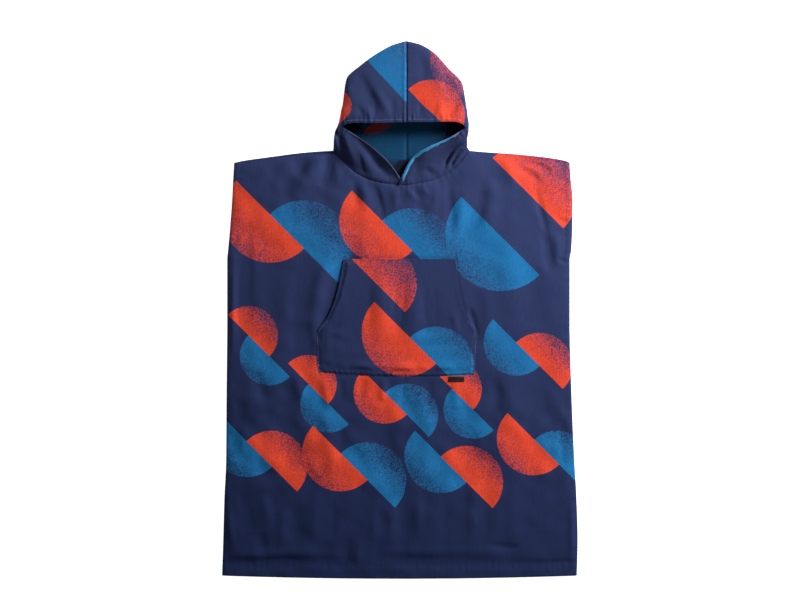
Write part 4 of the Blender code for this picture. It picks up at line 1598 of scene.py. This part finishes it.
    def wall_directions(self, middle: Array) -> Array:
        """Unit normals of the grid that point away from the hood's inside.

        Args:
            middle: The middle surface.

        Returns:
            A direction for each point.
        """
        down, along = np.gradient(middle, axis=0), np.gradient(middle, axis=1)
        normals = -self.side.value * np.cross(down, along)
        normals /= np.linalg.norm(normals, axis=-1, keepdims=True) + 1e-9
        for _ in range(self.normal_passes):
            normals[1:-1] = (normals[:-2] + 2 * normals[1:-1] + normals[2:]) / 4
        rim = np.linspace(1, self.edge_lean, self.rim_columns)[:, None]
        normals[self.crown_rows :, -self.rim_columns :, :2] *= rim
        seams = ((np.s_[0], along[0]), (np.s_[: self.crown_rows, -1], down[: self.crown_rows, -1]))
        for line, tangent in seams:
            upright = (np.zeros(len(tangent)), tangent[:, 2], -tangent[:, 1])
            normals[line] = as_points(*upright)
        normals[:, 0] = (0, 0, -1)
        seam = along[-1] * (1, 1, 0)
        seam[self.lower_spans] = (1, 0, 0)
        seam /= np.linalg.norm(seam, axis=1, keepdims=True)
        across = as_points(-seam[:, 1], seam[:, 0], 0 * seam[:, 0])
        normals[-1] -= across * np.sum(normals[-1] * across, axis=1, keepdims=True)
        return normals / np.linalg.norm(normals, axis=-1, keepdims=True)

    def cut_places(self, middle: Array) -> Array:
        """Where each point lay on the flat cloth: out from the side fold along each section.

        Args:
            middle: The middle surface.

        Returns:
            A place for each point.
        """
        steps = np.linalg.norm(np.diff(middle, axis=1), axis=2)
        run = np.concatenate([np.zeros((len(middle), 1)), np.cumsum(steps, axis=1)], axis=1)
        run -= run[:, self.lower_spans : self.lower_spans + 1]
        fold_x = middle[:, self.lower_spans : self.lower_spans + 1, 0]
        return as_points(fold_x - self.side.value * run, middle[..., 1])

    def build(self) -> Piece:
        """Makes the half's mesh and dresses it.

        Returns:
            The finished piece.
        """
        side = self.side.value
        neck, nape = self.neck_lines()
        middle, share = self.middle(self.stations(), neck, nape)
        seam_x = self.form.centre_seam_x
        crown = np.s_[: self.crown_rows, :, 0]
        middle[crown] = side * np.maximum(side * middle[crown], side * seam_x)
        middle[:, 0, 0] = seam_x
        if self.side is Side.LEFT:
            off = beside_line(middle[..., 0], middle[..., 1], np.array(self.tuck))[0]
            middle[..., 2] *= 1 - self.tuck_share * bell(off, self.tuck_reach)
        if self.side is Side.RIGHT:
            lapped = np.s_[self.crown_rows + self.brim_rows - 1 :, self.lower_spans :]
            near = ramp(neck[-1][0] + self.lap_reach - middle[lapped][..., 0], 0, self.lap_reach / 2)
            middle[lapped][..., 2] += (WALL + 2 * SEAM_GAP) * near
        relief, turned = self.sewn_relief(middle, share)
        normals = self.wall_directions(middle)
        cut = self.cut_places(middle)
        outer, inner = middle + normals * WALL / 2, middle - normals * WALL / 2
        outer[:, self.lower_spans :, 2] += relief
        inner[:, self.lower_spans :, 2] += relief * self.inner_relief
        outer[..., 2] = np.maximum(outer[..., 2], 0)
        marks = np.concatenate([np.zeros((len(middle), self.lower_spans)), turned], axis=1)
        sheet = Sheet(outer=outer, inner=inner, cut=cut, turned=marks)
        name = f"hood_{self.side.name.lower()}_cloth"
        return sheet.build(name, self.finish.material())


@dataclass
class KangarooPocket:
    """The pocket on the front, sewn down but for its two slanted hand openings."""

    form: BodyForm
    finish: PrintedTowelling
    spans: tuple[int, int] = (130, 96)  # across and up
    fans: Pair = (0.6, 0.4)  # above 0, so that the points stand closer at the edges
    puff: float = 1.4
    opening_foot: float = 0.28
    side_length: float = 260.0
    opening_lift: Pair = (2.8, 0.2)  # left and right
    seat: float = 0.72  # how far the sewn edges sink towards the panel
    thinning: float = 1.1  # of the wall at those edges
    stitches_in: Pair = (5.0, 7.0)  # at the sides and the top, and at the bottom
    seam_rows_up: Pair = (3.5, -3.0)  # from the bottom edge and from the top edge
    side_row_in: float = 1.6
    end_clear: float = 0.02  # the share of the height that rows up the sides keep clear at its ends
    foot_clear: float = 0.03  # and at the opening's foot
    level_ends: Pair = (0.01, 0.99)  # shares of the width between which the rows across run
    tack: Pair = (0.02, 0.08)  # the height that each bar tack takes up, over the opening's foot
    tack_in: float = 4.0
    tack_step: Pair = (0.06, 2.4)  # up and inwards, from one tack to the next
    foot_blend: float = 0.05
    row_points: tuple[int, int] = (60, 120)  # of the rows up the sides and across
    taper_reach: tuple[float, float, float] = (14.0, 12.0, 9.0)  # left side, right side, bottom
    opening_ease: float = 0.8
    opening_nearness: float = 9.0
    creases: Creases = field(default_factory=lambda: Creases(POCKET_CREASES))
    hem: Hem = Hem(11.0, 0.5, Puckers(12.0, 0.5, 8.0, seed=31), step=3.0, groove=0.5)
    hem_shares: Pair = (0.45, 0.35)  # how much of each opening's hem shows
    side_puckers: Puckers = Puckers(13.0, 0.5, 6.0, seed=32)
    bottom_puckers: Puckers = Puckers(12.0, 1.0, 9.0, seed=33)
    top_puckers: Puckers = Puckers(16.0, 0.35, 6.0, seed=34)

    def plan(self, across: Array, up: Array) -> tuple[Array, Array]:
        """Plan points at these shares of the pocket's width and height.

        Args:
            across: Shares of the width, from the left.
            up: Shares of the height, from the bottom.

        Returns:
            The points' x and y.
        """
        names = ("left_x", "left_y", "right_x", "right_y")
        left_x, left_y, right_x, right_y = (smooth(POCKET["up"], POCKET[n], up) for n in names)
        bow = self.form.pocket_bottom_bow * (1 - up) * np.sin(np.pi * across)
        return mix(left_x, right_x, across), mix(left_y, right_y, across) - bow

    def inset_row(self, ends: Pair, inset: float, side: Side) -> Array:
        """Plan points of a row up one side, this far in from its edge, between two shares of its height."""
        up = np.linspace(*ends, self.row_points[0])
        return as_points(*self.plan(np.full_like(up, side is Side.RIGHT), up)) - (side.value * inset, 0)

    def level_row(self, up: float, inset: float) -> Array:
        """Plan points of a row across the pocket, this far above the given share of its height."""
        across = np.linspace(*self.level_ends, self.row_points[1])
        return as_points(*self.plan(across, np.full_like(across, up))) + (0, inset)

    def hem_rows(self) -> list[Array]:
        """Rows of the hand openings' hems and of the bottom and top seams.

        Returns:
            Plan points of each row.
        """
        ends = (self.opening_foot + self.foot_clear, 1 - self.end_clear)
        hems = [self.inset_row(ends, self.hem.depth, side) for side in Side]
        return hems + [self.level_row(end, inset) for end, inset in zip((0.0, 1.0), self.seam_rows_up)]

    def seam_rows(self) -> list[Array]:
        """Rows of the sewn lower sides, and the bar tacks at the feet of the hand openings.

        Returns:
            Plan points of each row.
        """
        foot = self.opening_foot
        ends = (self.end_clear, foot - self.foot_clear)
        rows = [self.inset_row(ends, self.side_row_in, side) for side in Side]
        (low, high), (up, inwards) = self.tack, self.tack_step
        for side in Side:
            for k in (0, 1):
                ends = (foot + low + k * up, foot + high + k * up)
                rows.append(self.inset_row(ends, self.tack_in + k * inwards, side))
        return rows

    def build(self) -> Piece:
        """Makes the pocket's mesh and dresses it.

        Returns:
            The finished piece.
        """
        even = (np.linspace(0, 1, spans + 1) for spans in self.spans)
        fanned = [t - fan * np.sin(2 * np.pi * t) / (2 * np.pi) for t, fan in zip(even, self.fans)]
        across, up = fanned[0][None, :], fanned[1][:, None]
        x, y = self.plan(across, up)
        opening = np.sin(np.pi * np.clip((up - self.opening_foot) / (1 - self.opening_foot), 0, 1))
        opening = opening**self.opening_ease
        lifts = zip(self.opening_lift, (1 - across, across))
        lifted = sum(lift * near**self.opening_nearness for lift, near in lifts)
        puff = self.puff * np.sin(np.pi * across) * np.sin(np.pi * up)
        inner_share = np.sqrt(np.sin(np.pi * across) * np.sin(np.pi * up))
        moved = self.creases.height(x, y) * inner_share
        ground = self.form.underside(x, y) + WALL + SEAM_GAP
        low = ground + np.maximum(0, puff + moved) + opening * lifted

        width = POCKET["right_x"][0] - POCKET["left_x"][0]
        height = POCKET["left_y"][-1] - POCKET["left_y"][0]
        sides = (across * width, (1 - across) * width)
        ends = (up * height, (1 - up) * height)
        sewn = 1 - ramp(up, self.opening_foot, self.opening_foot + self.foot_blend)
        kept = np.ones_like(x)
        for near, off, reach in zip((sewn, sewn, 1), (*sides, ends[0]), self.taper_reach):
            kept *= 1 - near * (1 - ramp(off, 0, reach))
        taper = 1 - kept
        low -= self.seat * taper

        relief = -self.thinning * taper
        side_in, bottom_in = self.stitches_in
        for off, hem_share in zip(sides, self.hem_shares):
            relief += (1 - sewn) * hem_share * self.hem.height(off, up * self.side_length)
            relief += sewn * self.side_puckers.height(off - side_in, up * self.side_length)
        relief += self.bottom_puckers.height(ends[0] - bottom_in, across * width)
        relief += self.top_puckers.height(ends[1] - side_in, across * width)
        outer, inner = as_points(x, y, low + WALL + relief), as_points(x, y, low)
        sheet = Sheet(outer, inner, cut=as_points(x, y), crisp_rim=True, rim_bulge=0.08)
        return sheet.build("pocket_cloth", self.finish.material())


@dataclass
class PocketTag:
    """The bare tag that is caught in the pocket's bottom seam."""

    form: BodyForm
    finish: WovenTag
    size: tuple[float, float, float] = (35.0, 10.5, 0.9)
    corner: Pair = (109.0, -150.6)
    curl: float = 0.5
    points: tuple[int, int] = (36, 14)  # across and down

    def build(self) -> Piece:
        """Makes the tag's mesh and dresses it.

        Returns:
            The finished piece.
        """
        width, depth, thickness = self.size
        across, down = np.meshgrid(*(np.linspace(0, 1, count) for count in self.points))
        x, y = self.corner[0] + across * width, self.corner[1] - down * depth
        curl = self.curl * down**2 * (0.6 + 0.4 * np.cos(np.pi * (across - 0.2)))  # least at its right end
        low = self.form.underside(x, y) + self.form.sewn_relief(x, y) + WALL + SEAM_GAP / 2 + curl
        sheet = Sheet(as_points(x, y, low + thickness), as_points(x, y, low), cut=as_points(x, y))
        return sheet.build("pocket_tag", self.finish.material())


# Stitches


@dataclass
class Stitching:
    """Lockstitches: short threads laid end to end along their rows, by Geometry Nodes."""

    thread: Material
    pitch: float = 3.8
    length: float = 2.9
    width: float = 0.75
    lengths: Pair = (0.8, 1.1)  # shares of the length, drawn for each stitch
    sunk: Pair = (-0.1, 0.25)  # widths into the cloth, at its upper face and its underside
    sight: Pair = (0.2, -0.1)  # metres up, from where each of them is looked for
    seed: int = 5

    def tree(self) -> Tree:
        """The node tree that lays stitches along a curve.

        Returns:
            The tree, with its sizes, seed and thread as inputs.
        """
        tree = bpy.data.node_groups.new("lockstitches", "GeometryNodeTree")
        sockets = (
            ("Rows", "NodeSocketGeometry"),
            ("Pitch", "NodeSocketFloat"),
            ("Length", "NodeSocketFloat"),
            ("Width", "NodeSocketFloat"),
            ("Seed", "NodeSocketInt"),
            ("Thread", "NodeSocketMaterial"),
        )
        for name, kind in sockets:
            tree.interface.new_socket(name, in_out="INPUT", socket_type=kind)
        tree.interface.new_socket("Stitches", in_out="OUTPUT", socket_type="NodeSocketGeometry")
        given = add(tree, "NodeGroupInput", {}).outputs
        even = {"Curve": given["Rows"], "Length": given["Pitch"]}
        points = add(tree, "GeometryNodeResampleCurve", even, mode="LENGTH").outputs[0]
        ball = add(tree, "GeometryNodeMeshUVSphere", {"Segments": 6, "Rings": 4, "Radius": 0.5}).outputs[0]
        tangent = add(tree, "GeometryNodeInputTangent", {}).outputs[0]
        turned = add(tree, "FunctionNodeAlignRotationToVector", {"Vector": tangent}, axis="X").outputs[0]
        least, most = self.lengths
        drawn = {2: least, 3: most, "Seed": given["Seed"]}
        uneven = add(tree, "FunctionNodeRandomValue", drawn, data_type="FLOAT")
        varied = {0: given["Length"], 1: uneven.outputs[1]}
        long = add(tree, "ShaderNodeMath", varied, operation="MULTIPLY").outputs[0]
        size = add(tree, "ShaderNodeCombineXYZ", {0: long, 1: given["Width"], 2: given["Width"]}).outputs[0]
        laid = {"Points": points, "Instance": ball, "Rotation": turned, "Scale": size}
        stitches = add(tree, "GeometryNodeInstanceOnPoints", laid).outputs[0]
        real = add(tree, "GeometryNodeRealizeInstances", {0: stitches}).outputs[0]
        soft = add(tree, "GeometryNodeSetShadeSmooth", {0: real}).outputs[0]
        dressed = add(tree, "GeometryNodeSetMaterial", {0: soft, "Material": given["Thread"]}).outputs[0]
        add(tree, "NodeGroupOutput", {0: dressed})
        return tree

    def on_cloth(self, line: Array, cloth: BVHTree, underside: bool) -> list[Vector]:
        """The row's points in space, half sunk into the cloth's upper face or its underside.

        Args:
            line: Plan points of the row.
            cloth: The cloth's shape.
            underside: Whether the row lies on the lower face.

        Returns:
            The points, in metres.
        """
        start, way, sunk = self.sight[underside], (-1, 1)[underside], self.sunk[underside]
        points = []
        for x, y in line * MM:
            hit = cloth.ray_cast(Vector((x, y, start)), Vector((0, 0, way)))[0]
            if hit is not None:
                points.append(hit + Vector((0, 0, way * sunk * self.width * MM)))
        return points

    def sew(self, name: str, cloth: Piece, lines: list[Array], underside: bool = False) -> Piece:
        """Lays rows of stitches on a piece of cloth.

        Args:
            name: The new piece's name.
            cloth: What the stitches go through.
            lines: Plan points of each row.
            underside: Whether they lie on the cloth's lower face.

        Returns:
            The stitches as one plain mesh.
        """
        shape = BVHTree.FromObject(cloth, bpy.context.evaluated_depsgraph_get())
        curve = bpy.data.curves.new(name, "CURVE")
        curve.dimensions = "3D"
        for line in lines:
            points = self.on_cloth(line, shape, underside)
            spline = curve.splines.new("POLY")
            spline.points.add(len(points) - 1)
            for place, point in zip(spline.points, points):
                place.co = (*point, 1)
        source = new_object(f"{name}_rows", curve)
        modifier = source.modifiers.new("stitches", "NODES")
        modifier.node_group = self.tree()
        values = {
            "Pitch": self.pitch * MM,
            "Length": self.length * MM,
            "Width": self.width * MM,
            "Seed": self.seed,
            "Thread": self.thread,
        }
        for item in modifier.node_group.interface.items_tree:
            if item.in_out == "INPUT" and item.name in values:
                modifier[item.identifier] = values[item.name]
        graph = bpy.context.evaluated_depsgraph_get()
        mesh = bpy.data.meshes.new_from_object(source.evaluated_get(graph), depsgraph=graph)
        mesh.name = name
        source.modifiers.clear()
        bpy.data.objects.remove(source)
        bpy.data.curves.remove(curve)
        if not mesh.materials:
            mesh.materials.append(self.thread)
        return new_object(name, mesh)


# The studio


@dataclass
class Studio:
    """A plain pale floor, soft light from the upper right, and a camera straight above."""

    view_width: float = 1.8  # metres of the floor that the frame's width covers
    centre: Pair = (0.0002, 0.0219)
    lens: float = 150.0
    sensor: float = 36.0
    floor_reach: float = 6.0
    floor_z: float = -0.0003
    room_light: float = 0.085

    def camera(self) -> None:
        """Makes the camera that looks straight down."""
        data = bpy.data.cameras.new("camera")
        data.lens, data.sensor_width = self.lens, self.sensor
        camera = new_object("camera", data)
        camera.location = (*self.centre, self.view_width * self.lens / self.sensor)
        bpy.context.scene.camera = camera

    def softbox(self, name: str, place: tuple[float, float, float], size: float, power: float) -> None:
        """Adds a square soft light that faces the garment.

        Args:
            name: The light's name.
            place: Where it hangs.
            size: The length of its sides.
            power: In watts.
        """
        data = bpy.data.lights.new(name, "AREA")
        data.shape, data.size, data.energy = "SQUARE", size, power
        light = new_object(name, data)
        light.location = place
        light.rotation_euler = Vector(place).to_track_quat("Z", "Y").to_euler()

    def floor(self) -> None:
        """Makes the floor that the garment lies on."""
        mesh = bpy.data.meshes.new("floor")
        r, z = self.floor_reach, self.floor_z
        mesh.from_pydata([(-r, -r, z), (r, -r, z), (r, r, z), (-r, r, z)], [], [(0, 1, 2, 3)])
        mesh.materials.append(MattBoard().material())
        new_object("floor", mesh)

    def light(self) -> None:
        """Sets the room's own light and the softboxes."""
        scene = bpy.context.scene
        scene.world = bpy.data.worlds.new("studio")
        scene.world.use_nodes = True
        tree = scene.world.node_tree
        feed(tree, tree.nodes["Background"], {"Color": (1, 1, 1, 1), "Strength": self.room_light})
        self.softbox("key_softbox", place=(1.93, 1.59, 1.166), size=0.9, power=122.0)
        self.softbox("fill_softbox", place=(0.4, -5.0, 4.0), size=1.6, power=42.0)
        scene.view_settings.view_transform = "Standard"

    def build(self) -> None:
        """Makes everything round the garment."""
        self.camera()
        self.floor()
        self.light()


@dataclass
class Poncho:
    """The whole garment: its sewn pieces and their stitches.

    Attributes:
        form: The form that all pieces are cut for.
        pieces: The finished pieces, by name.
        towelling_slot: A slot name for the printed pieces and their thread, handed to keep, which does not
            use it.
        hem_row: From which x to which the hem's stitches run.
        armhole_row: From which y to which the armholes' stitches run.
        row_points: How many points these rows have.
    """

    form: BodyForm = field(default_factory=BodyForm)
    pieces: dict[str, Piece] = field(default_factory=dict)
    towelling_slot: str = "printed_towelling"
    hem_row: Pair = (-396.0, 396.0)
    armhole_row: Pair = (116.0, 328.0)
    row_points: tuple[int, int] = (400, 90)

    def keep(self, piece: Piece, slot: str, *nodes: str) -> None:
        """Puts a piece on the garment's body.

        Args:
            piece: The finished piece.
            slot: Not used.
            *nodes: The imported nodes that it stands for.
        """
        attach(piece, BODY)
        if nodes:
            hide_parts(*nodes)
        self.pieces[piece.name] = piece
        LOG.info("%s: %d faces", piece.name, len(piece.data.polygons))

    def cloth(self, part: str) -> Piece:
        """The finished cloth of this part."""
        return self.pieces[f"{part}_cloth"]

    def towelling(self, part: str, motifs: Table, **settings: Any) -> PrintedTowelling:
        """The towelling of one piece, with its own stretch of the print."""
        return PrintedTowelling(f"printed_towelling_{part}", motifs, **settings)

    def cut_and_sew(self, pocket: KangarooPocket) -> None:
        """Builds the cloth pieces.

        Args:
            pocket: The pocket to sew on.
        """
        form, slot = self.form, self.towelling_slot
        back_print = {name: np.append(BODY_PRINT[name], value) for name, value in zip(BODY_PRINT, NAPE_PRINT)}
        # painted shade: the back panel's loop side, seen inside the hood, is darkened most
        back = self.towelling("back", back_print, inside_tone=0.22)
        front = self.towelling("front", BODY_PRINT)
        # painted shade on both hood halves
        left = self.towelling("hood_left", LEFT_HOOD_PRINT, turned_ink="#565b72", **HOOD_PAINTED_SHADE)
        right = self.towelling("hood_right", RIGHT_HOOD_PRINT, **HOOD_PAINTED_SHADE)
        self.keep(BackPanel(form, back).build(), slot, "back_panel")
        self.keep(FrontPanel(form, front).build(), slot, "front_panel")
        self.keep(HoodHalf(Side.LEFT, form, left, LEFT_HOOD).build(), slot, "hood_left")
        self.keep(HoodHalf(Side.RIGHT, form, right, RIGHT_HOOD).build(), slot, "hood_right")
        self.keep(pocket.build(), slot, "kangaroo_pocket")
        self.keep(PocketTag(form, WovenTag()).build(), "woven_tag", "pocket_label")

    def body_rows(self) -> list[Array]:
        """Rows of the hem's and both armholes' stitches.

        Returns:
            Plan points of each row.
        """
        form, depth = self.form, self.form.armhole_hem.depth
        x = np.linspace(*self.hem_row, self.row_points[0])
        y = np.linspace(*self.armhole_row, self.row_points[1])
        left, right = form.sides(y)
        hem = as_points(x, form.hem_y(x) + form.hem.depth)
        return [hem, as_points(left + depth, y), as_points(right - depth, y)]

    def stitch(self, pocket: KangarooPocket) -> None:
        """Sews the rows of stitches.

        Args:
            pocket: The pocket that was sewn on.
        """
        navy = Stitching(SewingThread("navy_sewing_thread").material(), width=0.6)
        pale_thread = SewingThread("pale_sewing_thread", dark="#5d6894", light="#8b95bd")
        pale = Stitching(pale_thread.material(), pitch=3.2, length=2.6, width=0.8)
        rows = self.body_rows()
        sewn = [
            navy.sew("front_stitches", self.cloth("front_panel"), rows),
            navy.sew("back_stitches", self.cloth("back_panel"), rows, underside=True),
            navy.sew("pocket_stitches", self.cloth("pocket"), pocket.hem_rows()),
            pale.sew("pocket_seam_stitches", self.cloth("pocket"), pocket.seam_rows()),
            pale.sew("hood_left_stitches", self.cloth("hood_left"), [HoodHalf.brim_row(LEFT_HOOD)]),
            pale.sew("hood_right_stitches", self.cloth("hood_right"), [HoodHalf.brim_row(RIGHT_HOOD)]),
        ]
        for stitches in sewn:
            self.keep(stitches, self.towelling_slot)

    def build(self) -> None:
        """Makes the whole garment."""
        pocket = KangarooPocket(self.form, self.towelling("pocket", POCKET_PRINT))
        self.cut_and_sew(pocket)
        self.stitch(pocket)


def main() -> None:
    """Builds the studio and the garment."""
    logging.basicConfig(level=logging.INFO, format="%(name)s: %(message)s")
    Studio().build()
    Poncho().build()


if __name__ == "__main__":
    main()
